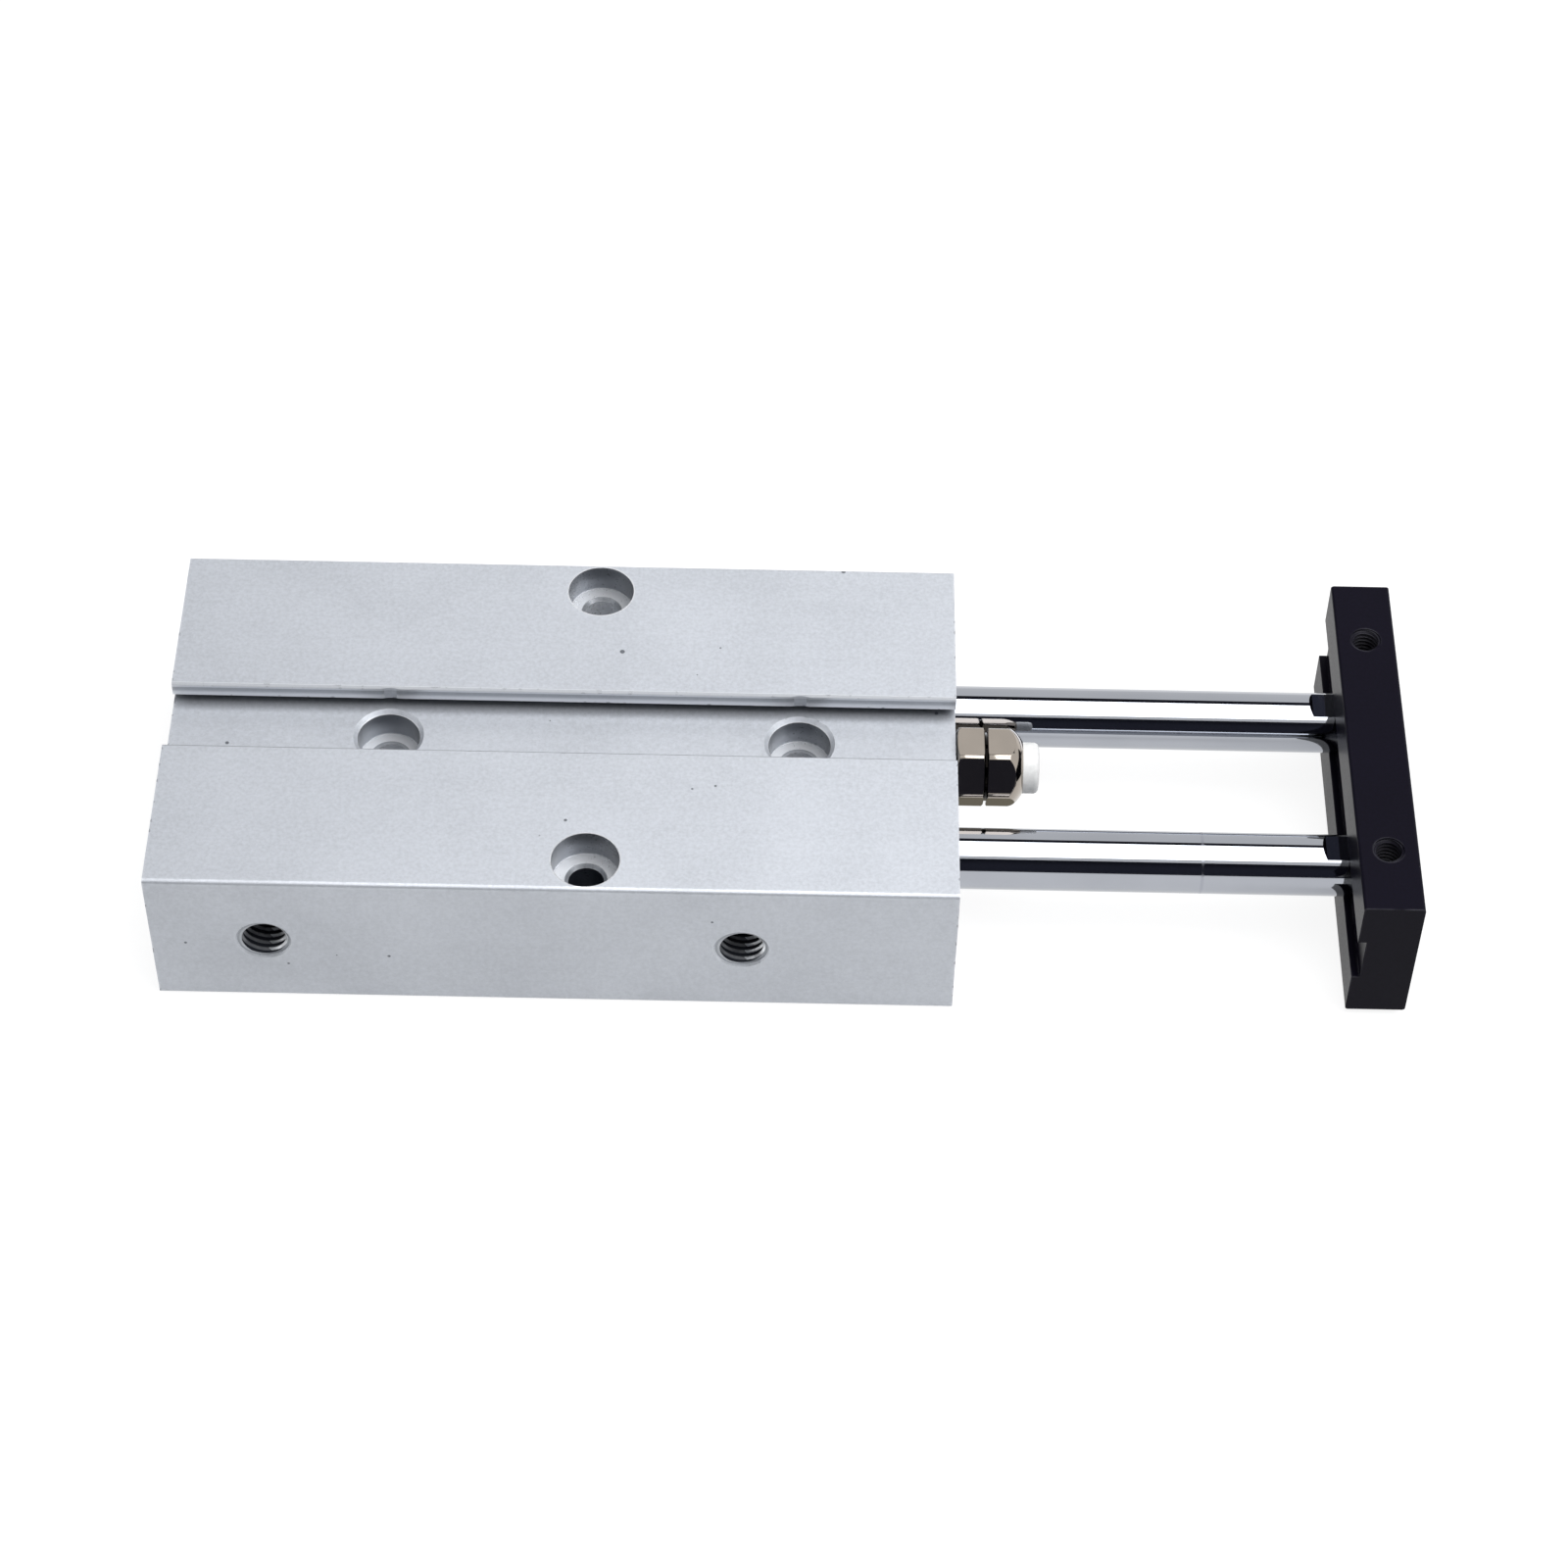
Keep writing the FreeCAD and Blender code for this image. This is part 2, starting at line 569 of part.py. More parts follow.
def make_piston(name, side):
    """Aluminium piston on the rod's spigot, grooved for its seal, magnet and wear ring."""
    body = new_body(f"piston_{name}", side)
    outline = [(f"-{PISTON_FRONT}", PISTON_RADIUS)]
    grooves = [(SEAL_GROOVE, "Sizes.seal_groove_width", "Sizes.seal_groove_depth"),
               (MAGNET_GROOVE, "Sizes.magnet_width", "Sizes.magnet_depth"),
               (WEAR_GROOVE, "Sizes.wear_groove_width", "Sizes.wear_groove_depth")]
    for start, width, depth in grooves:
        floor = f"{PISTON_RADIUS} - {depth}"
        outline += [(f"-{start}", PISTON_RADIUS), (f"-{start}", floor),
                    (f"-({start} + {width})", floor), (f"-({start} + {width})", PISTON_RADIUS)]
    hole = "Sizes.rod_spigot / 2 + Sizes.seat_clearance"
    recess = "Sizes.screw_head / 2 + Sizes.screw_clearance"
    recess_floor = f"-({PISTON_REAR} - {PISTON_RECESS})"
    outline += [(f"-{PISTON_REAR}", PISTON_RADIUS), (f"-{PISTON_REAR}", recess),
                (recess_floor, recess), (recess_floor, hole), (f"-{PISTON_FRONT}", hole)]
    revolve(body, outline)
    return body


def piston_ring(label, side, start, width, depth, proud):
    """A plain ring in one of the piston's grooves, with clearance on every side."""
    body = new_body(label, side)
    front = f"({start} + Sizes.end_clearance)"
    rear = f"({start} + {width} - Sizes.end_clearance)"
    revolve(body, ring_outline(front, rear, f"{PISTON_RADIUS} - {depth} + Sizes.seat_clearance", proud))
    return body


def make_piston_seal(name, side):
    """Rubber seal of the piston, squeezed between its groove and the bore."""
    middle = f"({SEAL_GROOVE} + Sizes.seal_groove_width / 2)"
    inner = f"{PISTON_RADIUS} - Sizes.seal_groove_depth + Sizes.seat_clearance"
    outer = "Sizes.bore / 2 - Sizes.running_clearance"
    width = "Sizes.seal_groove_width - 2 * Sizes.end_clearance"
    return squeezed_ring(f"piston_seal_{name}", side, middle, inner, outer, width)


def make_piston_magnet(name, side):
    """Ring magnet that a switch in the T-slot senses."""
    return piston_ring(f"piston_magnet_{name}", side, MAGNET_GROOVE, "Sizes.magnet_width",
                       "Sizes.magnet_depth", f"{PISTON_RADIUS} - Sizes.running_clearance")


def make_wear_ring(name, side):
    """Plastic band that carries the piston in the bore."""
    return piston_ring(f"wear_ring_{name}", side, WEAR_GROOVE, "Sizes.wear_groove_width",
                       "Sizes.wear_groove_depth", "Sizes.bore / 2 - Sizes.running_clearance")


def make_socket_screw(label, side, seat, toward, head_height):
    """Socket head screw: the seat is under its head, which points forward (1) or to the rear (-1)."""
    body = new_body(label, side)
    head = "Sizes.screw_head / 2"
    shank = "Sizes.screw / 2 - Sizes.seat_clearance"
    top = f"({seat} + {toward} * {head_height})"
    lead = "Sizes.turned_edge"
    tip = f"({seat} - {toward} * Sizes.screw_length)"
    revolve(body, [(tip, "0"), (tip, shank), (seat, shank), (seat, head),
                   (f"{top} - {toward} * {lead}", head), (top, f"{head} - {lead}"), (top, "0")])
    socket = new_sketch(body, "YZ_Plane", top)
    draw_hexagon(socket, "Sizes.socket")
    pocket(body, socket, f"{head_height} / 2", reversed_side=toward < 0)
    return body


def make_piston_screw(name, side):
    """Screw that clamps the piston on the rod's rear spigot."""
    seat = f"(-{PISTON_REAR} + {PISTON_RECESS})"
    return make_socket_screw(f"piston_screw_{name}", side, seat, -1, "Sizes.piston_screw_head_height")


def make_plate_screw(name, side):
    """Screw that clamps the tool plate on the rod's front end, its head below the plate's face."""
    height = "Sizes.plate_screw_head_height"
    return make_socket_screw(f"plate_screw_{name}", side, PLATE_SCREW_SEAT, 1, height)


def make_tool_plate():
    """Black anodised bar across both rods, keyed on their flats by a groove along its back."""
    body = new_body("tool_plate")
    half_height = "Sizes.plate_height / 2"
    half_key = "(Sizes.flat_across / 2 + Sizes.end_clearance)"
    section = new_sketch(body, "XZ_Plane")
    draw_outline(section, [(PLATE_BACK, f"-{half_height}"), (PLATE_FRONT, f"-{half_height}"),
                           (PLATE_FRONT, half_height), (PLATE_BACK, half_height), (PLATE_BACK, half_key),
                           (ROD_END, half_key), (ROD_END, f"-{half_key}"), (PLATE_BACK, f"-{half_key}")])
    pad(body, section, "Sizes.plate_width", symmetric=True)
    dress(body, "Fillet", "Sizes.plate_edge_radius", is_plate_corner)

    steps = [("Sizes.screw + 2 * Sizes.screw_clearance", "Sizes.plate_thickness"),
             ("Sizes.screw_head + 2 * Sizes.screw_clearance", PLATE_COUNTERBORE_DEPTH)]
    for diameter, depth in steps:
        sketch = new_sketch(body, "YZ_Plane", PLATE_FRONT)
        for side in SIDES.values():
            draw_circle(sketch, f"{side} * Sizes.rod_pitch / 2", "0", diameter)
        pocket(body, sketch, depth)

    tool_holes = new_sketch(body, "YZ_Plane", PLATE_FRONT)
    for across in (1, -1):
        for up in (1, -1):
            draw_circle(tool_holes, f"{across} * Sizes.tool_hole_pitch_across / 2",
                        f"{up} * Sizes.tool_hole_pitch_up / 2", "Sizes.screw")
    pocket(body, tool_holes, "Sizes.tool_hole_depth")

    top_holes = new_sketch(body, "XY_Plane", half_height)
    for side in SIDES.values():
        draw_circle(top_holes, f"{PLATE_BACK} + Sizes.plate_thickness / 2",
                    f"{side} * Sizes.top_hole_pitch / 2", "Sizes.screw")
    pocket(body, top_holes, "Sizes.top_hole_depth")
    return body


def is_plate_corner(edge):
    """True for the four long corners of the plate, not for the edges of its groove."""
    middle = edge.CenterOfMass
    return (close(abs(middle.z), number_of("Sizes.plate_height / 2"))
            and close(edge.Length, number_of("Sizes.plate_width")))


def hex_blank(body, back, front):
    """A hexagonal blank between two depths, turned as the parts stand on the barrel."""
    sketch = new_sketch(body, "YZ_Plane", back)
    draw_hexagon(sketch, "Sizes.hex_across_flats", "Sizes.hex_turn")
    pad(body, sketch, f"{front} - {back}")


def bevel_hexagon(body, face, outward, width="Sizes.hex_face", cone="Sizes.hex_cone"):
    """Turns the corners down to a cone that meets the end face at a width; the face looks outward."""
    sketch = new_sketch(body, "XZ_Plane")
    start = f"{width} / 2"
    reach = "Sizes.hex_across_flats"
    drop = f"({reach} - {start}) * tan({cone} * 1deg)"
    beyond = f"{face} + {outward} * Sizes.turned_edge"
    draw_outline(sketch, [(face, start), (f"{face} - {outward} * {drop}", reach), (beyond, reach),
                          (beyond, start)])
    doc.recompute()
    before = body.Shape.Volume
    feature = body.newObject("PartDesign::Groove", f"{body.Name}_bevel")
    feature.Profile = sketch
    feature.ReferenceAxis = (sketch, ["H_Axis"])
    feature.Angle = 360
    doc.recompute()
    if body.Shape.Volume >= before:
        raise RuntimeError(f"{feature.Name} removed nothing from {body.Label}")


def make_stop_bolt():
    """Hex-headed bolt screwed into the barrel's front; its head is bored for a plastic bumper."""
    body = new_body("stop_bolt", height=STOP_HEIGHT)
    hex_blank(body, STOP_HEAD_BACK, STOP_HEAD_FRONT)
    bevel_hexagon(body, STOP_HEAD_BACK, -1)
    bevel_hexagon(body, STOP_HEAD_FRONT, 1, "Sizes.stop_nose", "Sizes.stop_nose_cone")
    shank = new_sketch(body, "YZ_Plane", STOP_HEAD_BACK)
    draw_circle(shank, "0", "0", "Sizes.stop_thread - 2 * Sizes.running_clearance")
    pad(body, shank, f"Sizes.stop_engagement + {STOP_HEAD_BACK}", reversed_side=True)
    recess = new_sketch(body, "YZ_Plane", STOP_HEAD_FRONT)
    draw_circle(recess, "0", "0", "Sizes.stop_bumper_stem + 2 * Sizes.seat_clearance")
    pocket(body, recess, "Sizes.stop_bumper_stem_length + Sizes.end_clearance")
    return body


def make_stop_bumper():
    """White plastic button pressed into the stop bolt's head, which the plate lands on."""
    body = new_body("stop_bumper", height=STOP_HEIGHT)
    radius = "Sizes.stop_bumper / 2"
    stem = "Sizes.stop_bumper_stem / 2"
    stem_end = f"({STOP_HEAD_FRONT} - Sizes.stop_bumper_stem_length)"
    revolve(body, [(stem_end, "0"), (stem_end, stem), (STOP_HEAD_FRONT, stem), (STOP_HEAD_FRONT, radius),
                   (STOP_REACH, radius), (STOP_REACH, "0")])
    width, face = number_of("Sizes.stop_bumper"), number_of(STOP_REACH)
    dress(body, "Fillet", "Sizes.stop_bumper_edge", lambda edge: is_rim(edge, width, ALONG, face))
    return body


def make_lock_nut():
    """Thin hexagon nut that locks the stop bolt against the barrel's front face."""
    body = new_body("lock_nut", height=STOP_HEIGHT)
    back = "Sizes.end_clearance"
    front = "(Sizes.end_clearance + Sizes.lock_nut_thickness)"
    hex_blank(body, back, front)
    bevel_hexagon(body, back, -1)
    bevel_hexagon(body, front, 1)
    hole = new_sketch(body, "YZ_Plane", front)
    draw_circle(hole, "0", "0", "Sizes.stop_thread")
    pocket(body, hole, "Sizes.lock_nut_thickness")
    return body


def make_cylinder():
    """Every sub-part of the cylinder, the left and the right axis alike."""
    parts = [make_barrel(), make_tool_plate(), make_stop_bolt(), make_stop_bumper(), make_lock_nut()]
    makers = [make_rod_cover, make_guide_bush, make_rod_seal, make_cover_o_ring, make_front_bumper,
              make_end_cap, make_end_cap_o_ring, make_rear_bumper, make_piston_rod, make_piston,
              make_piston_seal, make_piston_magnet, make_wear_ring, make_piston_screw, make_plate_screw]
    front_clip = "-(Sizes.clip_inset + Sizes.end_clearance)"
    rear_clip = f"-({BARREL_LENGTH} - Sizes.clip_inset - Sizes.clip_thickness - Sizes.end_clearance)"
    for name, side in SIDES.items():
        parts += [make(name, side) for make in makers]
        parts.append(make_circlip(f"front_circlip_{name}", side, front_clip))
        parts.append(make_circlip(f"rear_circlip_{name}", side, rear_clip))
    return parts


def check_document():
    """Stops if any object failed to compute."""
    for item in doc.Objects:
        if "Invalid" in item.State or "Error" in item.State:
            raise RuntimeError(f"{item.Name} did not compute: {item.State}")


def export(parts):
    """Writes one STEP file for each sub-part, named after its label."""
    os.makedirs("parts", exist_ok=True)
    for part in parts:
        shape = part.Shape
        if shape.isNull() or not shape.isValid():
            raise RuntimeError(f"{part.Label} has no valid shape")
        print(f"{part.Label:24} {len(shape.Solids)} solid  {shape.Volume:9.2f} mm3")
    for part in parts:
        part.Shape.exportStep(f"parts/{part.Label}.step")


sub_parts = make_cylinder()
doc.recompute()
check_document()
export(sub_parts)
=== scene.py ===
"""Looks of the twin-rod guided cylinder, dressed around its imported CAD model.

All lengths are in metres, in the model's own frame: +X runs along the rods to the tool plate, +Z up
through the face with the T-slot. The order below is the order in which the cylinder is put together.
"""
import math

import bmesh
import bpy
from mathutils import Matrix, Vector


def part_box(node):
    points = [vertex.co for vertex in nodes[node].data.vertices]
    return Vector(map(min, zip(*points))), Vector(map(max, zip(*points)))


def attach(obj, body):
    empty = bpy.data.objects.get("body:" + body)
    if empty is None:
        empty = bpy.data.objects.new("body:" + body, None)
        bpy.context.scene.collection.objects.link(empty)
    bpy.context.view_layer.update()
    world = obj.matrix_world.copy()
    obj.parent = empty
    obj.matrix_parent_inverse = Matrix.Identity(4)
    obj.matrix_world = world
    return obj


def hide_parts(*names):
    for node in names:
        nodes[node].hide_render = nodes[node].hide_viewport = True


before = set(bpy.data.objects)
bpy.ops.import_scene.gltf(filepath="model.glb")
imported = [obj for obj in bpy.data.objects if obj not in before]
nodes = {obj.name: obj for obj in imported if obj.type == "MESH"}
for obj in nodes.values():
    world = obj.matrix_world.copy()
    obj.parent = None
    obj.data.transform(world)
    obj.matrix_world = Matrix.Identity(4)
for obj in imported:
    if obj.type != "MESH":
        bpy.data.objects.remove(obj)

bpy.context.view_layer.update()
MM = 0.001

# ---- Barrel -------------------------------------------------------------------------------------
# One block of extruded aluminium with both bores in it, blasted with fine glass beads and clear
# anodised. Its holes are cut after the blasting: their floors are machined bright and also carry
# painted light, their walls carry painted shade, and so do the through-holes on the ported side,
# while the others carry painted light. Painted shade lies in the corners, the ports and over the
# slot's lips, with painted highlights along the lips.
BARREL_TINT = (0.568, 0.594, 0.640, 1)
# Below: a tint for edge wear and painted highlights, painted light for cut floors, painted shade for cut
# walls, a darker grey for hole rims, and painted shade that also serves for dirt.
BARREL_WEAR_AND_HIGHLIGHT_TINT = (0.88, 0.9, 0.94, 1)
LIT_CUT_TINT = (0.85, 0.87, 0.90, 1)
CUT_WALL_SHADE_TINT = (0.16, 0.172, 0.195, 1)
CUT_RIM_TINT = (0.36, 0.38, 0.41, 1)
SHADE_AND_DIRT_TINT = (0.045, 0.052, 0.07, 1)
AXIS_HEIGHT = 8.5 * MM
SLOT_HOLES = [(20 * MM, 0, 0), (-20 * MM, 0, 0)]
SIDE_HOLES = [(0, 17.3 * MM, 0), (0, -17.3 * MM, 0)]
PORTS = [(14.8 * MM, 0, AXIS_HEIGHT), (-30.6 * MM, 0, AXIS_HEIGHT)]
SLOT_COUNTERBORE_REACH = 3.08 * MM
SIDE_COUNTERBORE_REACH = 3.36 * MM
COUNTERBORES_ABOVE = 9 * MM
HOLE_RIM_REACH = 2.05 * MM
HOLE_WALL_REACH = 1.75 * MM
PORT_WALL_REACH = 2.53 * MM
PORT_MOUTH_DEPTH = 0.45 * MM
PORTED_SIDE_END = -8 * MM
SLOT_HALF_WIDTH = 3.85 * MM
LIP_LOW, LIP_HIGH = 15.45 * MM, 17 * MM
LIP_MARGIN = 0.05 * MM
LIP_EDGE_HEIGHT = 0.45 * MM
LIP_EDGE_INSIDE = 0.1 * MM
FRONT_EDGE_OUTSIDE, REAR_EDGE_OUTSIDE = 0.25 * MM, 0.3 * MM
# Heights of the painted highlight near the lower edge of the slot's lips.
LIP_HIGHLIGHT_LOW, LIP_HIGHLIGHT_HIGH = LIP_LOW + 0.35 * MM, LIP_LOW + 0.75 * MM

barrel_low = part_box("barrel")[0]


def add_node(tree, kind, inputs=None, **properties):
    """A shader node. Each input is given by name or number, as a value or as another's output."""
    node = tree.nodes.new(f"ShaderNode{kind}")
    for name, value in properties.items():
        setattr(node, name, value)
    for name, value in (inputs or {}).items():
        if isinstance(value, bpy.types.NodeSocket):
            tree.links.new(value, node.inputs[name])
        else:
            node.inputs[name].default_value = value
    return node


def mix_colours(tree, share, first, second):
    """The colour between two, at a share from 0 to 1."""
    return add_node(tree, "Mix", {0: share, 6: first, 7: second}, data_type="RGBA").outputs[2]


def spread(tree, value, low, high, to_low=0.0, to_high=1.0):
    """Carries the range low to high over to to_low to to_high, and holds the value inside it."""
    ends = {"Value": value, "From Min": low, "From Max": high, "To Min": to_low, "To Max": to_high}
    return add_node(tree, "MapRange", ends).outputs["Result"]


def work_out(tree, operation, *values):
    """The result of a sum on one to three values."""
    return add_node(tree, "Math", dict(enumerate(values)), operation=operation).outputs[0]


def new_material(name):
    """An empty finish: the material, its nodes, its shader and the object's own coordinates."""
    material = bpy.data.materials.new(name)
    material.use_nodes = True
    tree = material.node_tree
    shader = tree.nodes["Principled BSDF"]
    return material, tree, shader, add_node(tree, "TexCoord").outputs["Object"]


def new_group(name, inputs, outputs):
    """An empty effect with its named sockets, and the nodes at its two ends."""
    tree = bpy.data.node_groups.new(name, "ShaderNodeTree")
    for socket_name, kind in inputs:
        tree.interface.new_socket(socket_name, in_out="INPUT", socket_type=f"NodeSocket{kind}")
    for socket_name in outputs:
        tree.interface.new_socket(socket_name, in_out="OUTPUT", socket_type="NodeSocketFloat")
    return tree, tree.nodes.new("NodeGroupInput").outputs, tree.nodes.new("NodeGroupOutput").inputs


def use_group(tree, group, **inputs):
    """Places an effect in a material with that material's own values."""
    return add_node(tree, "Group", inputs, node_tree=group).outputs


def make_edge_wear():
    """Where handling rubs the edges: a mask of the sharp turns, broken up along their length, and nicks."""
    sockets = [("Place", "Vector"), ("Width", "Float")]
    tree, given, result = new_group("edge_wear", sockets, ["Mask", "Nicks"])
    rounded = add_node(tree, "Bevel", {"Radius": given["Width"]}, samples=6).outputs[0]
    plain = add_node(tree, "NewGeometry").outputs["Normal"]
    agreement = add_node(tree, "VectorMath", {0: rounded, 1: plain}, operation="DOT_PRODUCT").outputs["Value"]
    turn = spread(tree, agreement, 0.995, 0.80)
    patches = add_node(tree, "TexNoise", {"Vector": given["Place"], "Scale": 420.0, "Detail": 2.0}).outputs[0]
    tree.links.new(work_out(tree, "MULTIPLY", turn, spread(tree, patches, 0.35, 0.62)), result["Mask"])
    chips = add_node(tree, "TexNoise", {"Vector": given["Place"], "Scale": 1300.0, "Detail": 1.0}).outputs[0]
    tree.links.new(work_out(tree, "MULTIPLY", turn, spread(tree, chips, 0.63, 0.67)), result["Nicks"])
    return tree


def make_recess_shade():
    """Painted shade in the corners and hollows: a mask of how closed in each point is."""
    tree, given, result = new_group("recess_shade", [("Reach", "Float")], ["Mask"])
    openness = add_node(tree, "AmbientOcclusion", {"Distance": given["Reach"]}, samples=8, only_local=True)
    tree.links.new(spread(tree, openness.outputs["AO"], 0.85, 0.20), result["Mask"])
    return tree


def make_bead_blast():
    """The even mottle of a blasted skin: fine dimples, and the softer clouds that a big nozzle leaves."""
    sockets = [("Place", "Vector"), ("Scale", "Float")]
    tree, given, result = new_group("bead_blast", sockets, ["Tone", "Height"])
    dimples = add_node(tree, "TexNoise", {"Vector": given["Place"], "Scale": given["Scale"], "Detail": 3.0,
                                          "Roughness": 0.65}).outputs[0]
    clouds = add_node(tree, "TexNoise", {"Vector": given["Place"], "Scale": 90.0, "Detail": 2.0}).outputs[0]
    tone = work_out(tree, "MULTIPLY_ADD", clouds, 0.35, work_out(tree, "MULTIPLY", dimples, 0.65))
    tree.links.new(spread(tree, tone, 0.34, 0.66), result["Tone"])
    tree.links.new(dimples, result["Height"])
    return tree


def make_specks():
    """Small dark pits and dirt in a skin: dots a quarter of a millimetre wide, few and far between."""
    sockets = [("Place", "Vector"), ("Scale", "Float"), ("Share", "Float")]
    tree, given, result = new_group("specks", sockets, ["Mask"])
    cells = add_node(tree, "TexVoronoi", {"Vector": given["Place"], "Scale": given["Scale"]})
    size = add_node(tree, "SeparateColor", {0: cells.outputs["Color"]}).outputs
    chosen = work_out(tree, "LESS_THAN", size[0], given["Share"])
    radius = spread(tree, size[1], 0.0, 1.0, 0.05, 0.13)
    inside = work_out(tree, "LESS_THAN", cells.outputs["Distance"], radius)
    tree.links.new(work_out(tree, "MULTIPLY", chosen, inside), result["Mask"])
    return tree


edge_wear = make_edge_wear()
recess_shade = make_recess_shade()
bead_blast = make_bead_blast()
specks = make_specks()


def near_axes(tree, place, spots, across, reach):
    """1 within reach of any of the lines through the spots, at right angles to the plane they lie across."""
    flat = add_node(tree, "VectorMath", {0: place, 1: across}, operation="MULTIPLY").outputs[0]
    mask = 0.0
    for spot in spots:
        away = add_node(tree, "VectorMath", {0: flat, 1: spot}, operation="DISTANCE").outputs["Value"]
        mask = work_out(tree, "MAXIMUM", mask, work_out(tree, "LESS_THAN", away, reach))
    return mask


def between(tree, value, low, high):
    """1 where a value lies between two others."""
    return work_out(tree, "MULTIPLY", work_out(tree, "GREATER_THAN", value, low),
                    work_out(tree, "LESS_THAN", value, high))


def shaded(tint, factor):
    """A colour made lighter or darker."""
    return [min(1, channel * factor) for channel in tint[:3]] + [1]


def set_finish(tree, shader, colour, rough, metal, height=None, strength=0.0, depth=0.0):
    """Gives a shader its colour, roughness and share of metal, and a fine relief where it has one."""
    tree.links.new(colour, shader.inputs["Base Color"])
    tree.links.new(rough, shader.inputs["Roughness"])
    shader.inputs["Metallic"].default_value = metal
    if height is not None:
        bump = add_node(tree, "Bump", {"Strength": strength, "Distance": depth, "Height": height})
        tree.links.new(bump.outputs[0], shader.inputs["Normal"])


def make_clear_anodised():
    """The barrel's blasted skin, with its cut holes, the slot's lips, worn edges and dirt, and painted light
    and shade in its holes, hollows and slot.
    """
    material, tree, shader, place = new_material("clear_anodised")
    blast = use_group(tree, bead_blast, Place=place, Scale=2600.0)
    wear = use_group(tree, edge_wear, Place=place, Width=0.4 * MM)
    # Painted shade in corners and hollows.
    recess_shade_mask = use_group(tree, recess_shade, Reach=2.4 * MM)["Mask"]
    dirt = use_group(tree, specks, Place=place, Scale=420.0, Share=0.16)["Mask"]
    along = add_node(tree, "Mapping", {"Vector": place, "Scale": (6, 700, 700)}).outputs[0]
    die_lines = add_node(tree, "TexNoise", {"Vector": along, "Scale": 1.0, "Detail": 2.0}).outputs[0]
    _, side, height = add_node(tree, "SeparateXYZ", {0: place}).outputs
    facing = add_node(tree, "SeparateXYZ", {0: add_node(tree, "NewGeometry").outputs["Normal"]}).outputs[2]
    in_slot = near_axes(tree, place, SLOT_HOLES, (1, 1, 0), SLOT_COUNTERBORE_REACH)
    in_top = near_axes(tree, place, SIDE_HOLES, (1, 1, 0), SIDE_COUNTERBORE_REACH)
    counterbore = work_out(tree, "MULTIPLY", work_out(tree, "MAXIMUM", in_slot, in_top),
                           work_out(tree, "GREATER_THAN", height, COUNTERBORES_ABOVE))
    hole_rim = near_axes(tree, place, SLOT_HOLES + SIDE_HOLES, (1, 1, 0), HOLE_RIM_REACH)
    hole_wall = near_axes(tree, place, SLOT_HOLES + SIDE_HOLES, (1, 1, 0), HOLE_WALL_REACH)
    port = near_axes(tree, place, PORTS, (1, 0, 1), PORT_WALL_REACH)
    ported_side = between(tree, side, barrel_low.y + PORT_MOUTH_DEPTH, PORTED_SIDE_END)
    upper = work_out(tree, "GREATER_THAN", height, LIP_HIGH - LIP_EDGE_HEIGHT)
    # Thin bands along the slot's top edges: the front one gets a painted shadow line, the rear one a painted
    # highlight line.
    front_edge = between(tree, side, -SLOT_HALF_WIDTH - FRONT_EDGE_OUTSIDE,
                         -SLOT_HALF_WIDTH + LIP_EDGE_INSIDE)
    front_edge = work_out(tree, "MULTIPLY", front_edge, upper)
    rear_edge = between(tree, side, SLOT_HALF_WIDTH - LIP_EDGE_INSIDE, SLOT_HALF_WIDTH + REAR_EDGE_OUTSIDE)
    rear_edge = work_out(tree, "MULTIPLY", rear_edge, upper)
    # The slot's lip faces, which get painted shade, and a painted highlight near their lower edge.
    lip = between(tree, work_out(tree, "ABSOLUTE", side), 0.0, SLOT_HALF_WIDTH + LIP_MARGIN)
    lip = work_out(tree, "MULTIPLY", lip, work_out(tree, "GREATER_THAN", height, LIP_LOW - LIP_MARGIN))
    painted_highlight = work_out(tree, "MULTIPLY", lip, spread(tree, height, LIP_HIGHLIGHT_HIGH, LIP_HIGHLIGHT_LOW))
    outside = work_out(tree, "SUBTRACT", 1.0, counterbore)
    # Edge wear, kept off the front edge, joined with the rear edge's painted highlight line.
    brightened = work_out(tree, "MULTIPLY", wear["Mask"], spread(tree, front_edge, 0.0, 1.0, 0.6, 0.0))
    brightened = work_out(tree, "MAXIMUM", brightened, work_out(tree, "MULTIPLY", rear_edge, 0.55))
    marks = work_out(tree, "MULTIPLY", work_out(tree, "MAXIMUM", dirt, wear["Nicks"]), outside)

    light = shaded(BARREL_TINT, 1.13)
    mottle = spread(tree, work_out(tree, "ABSOLUTE", facing), 0.2, 0.8, 0.55, 1.0)
    tone = work_out(tree, "MULTIPLY_ADD", work_out(tree, "SUBTRACT", blast["Tone"], 0.5), mottle, 0.5)
    skin = mix_colours(tree, tone, shaded(BARREL_TINT, 0.87), light)
    skin = mix_colours(tree, spread(tree, die_lines, 0.35, 0.65, 0.0, 0.10), skin, light)
    # Painted shade over the slot's lip faces.
    skin = mix_colours(tree, work_out(tree, "MULTIPLY", lip, 0.35), skin, SHADE_AND_DIRT_TINT)
    # Painted shade in corners and hollows.
    skin = mix_colours(tree, work_out(tree, "MULTIPLY", recess_shade_mask, 0.75), skin, SHADE_AND_DIRT_TINT)
    # Painted highlight near the lips' lower edge.
    skin = mix_colours(tree, work_out(tree, "MULTIPLY", painted_highlight, 0.75), skin, BARREL_WEAR_AND_HIGHLIGHT_TINT)
    # Painted shadow line along the front edge of the slot.
    skin = mix_colours(tree, front_edge, skin, shaded(BARREL_TINT, 0.52))
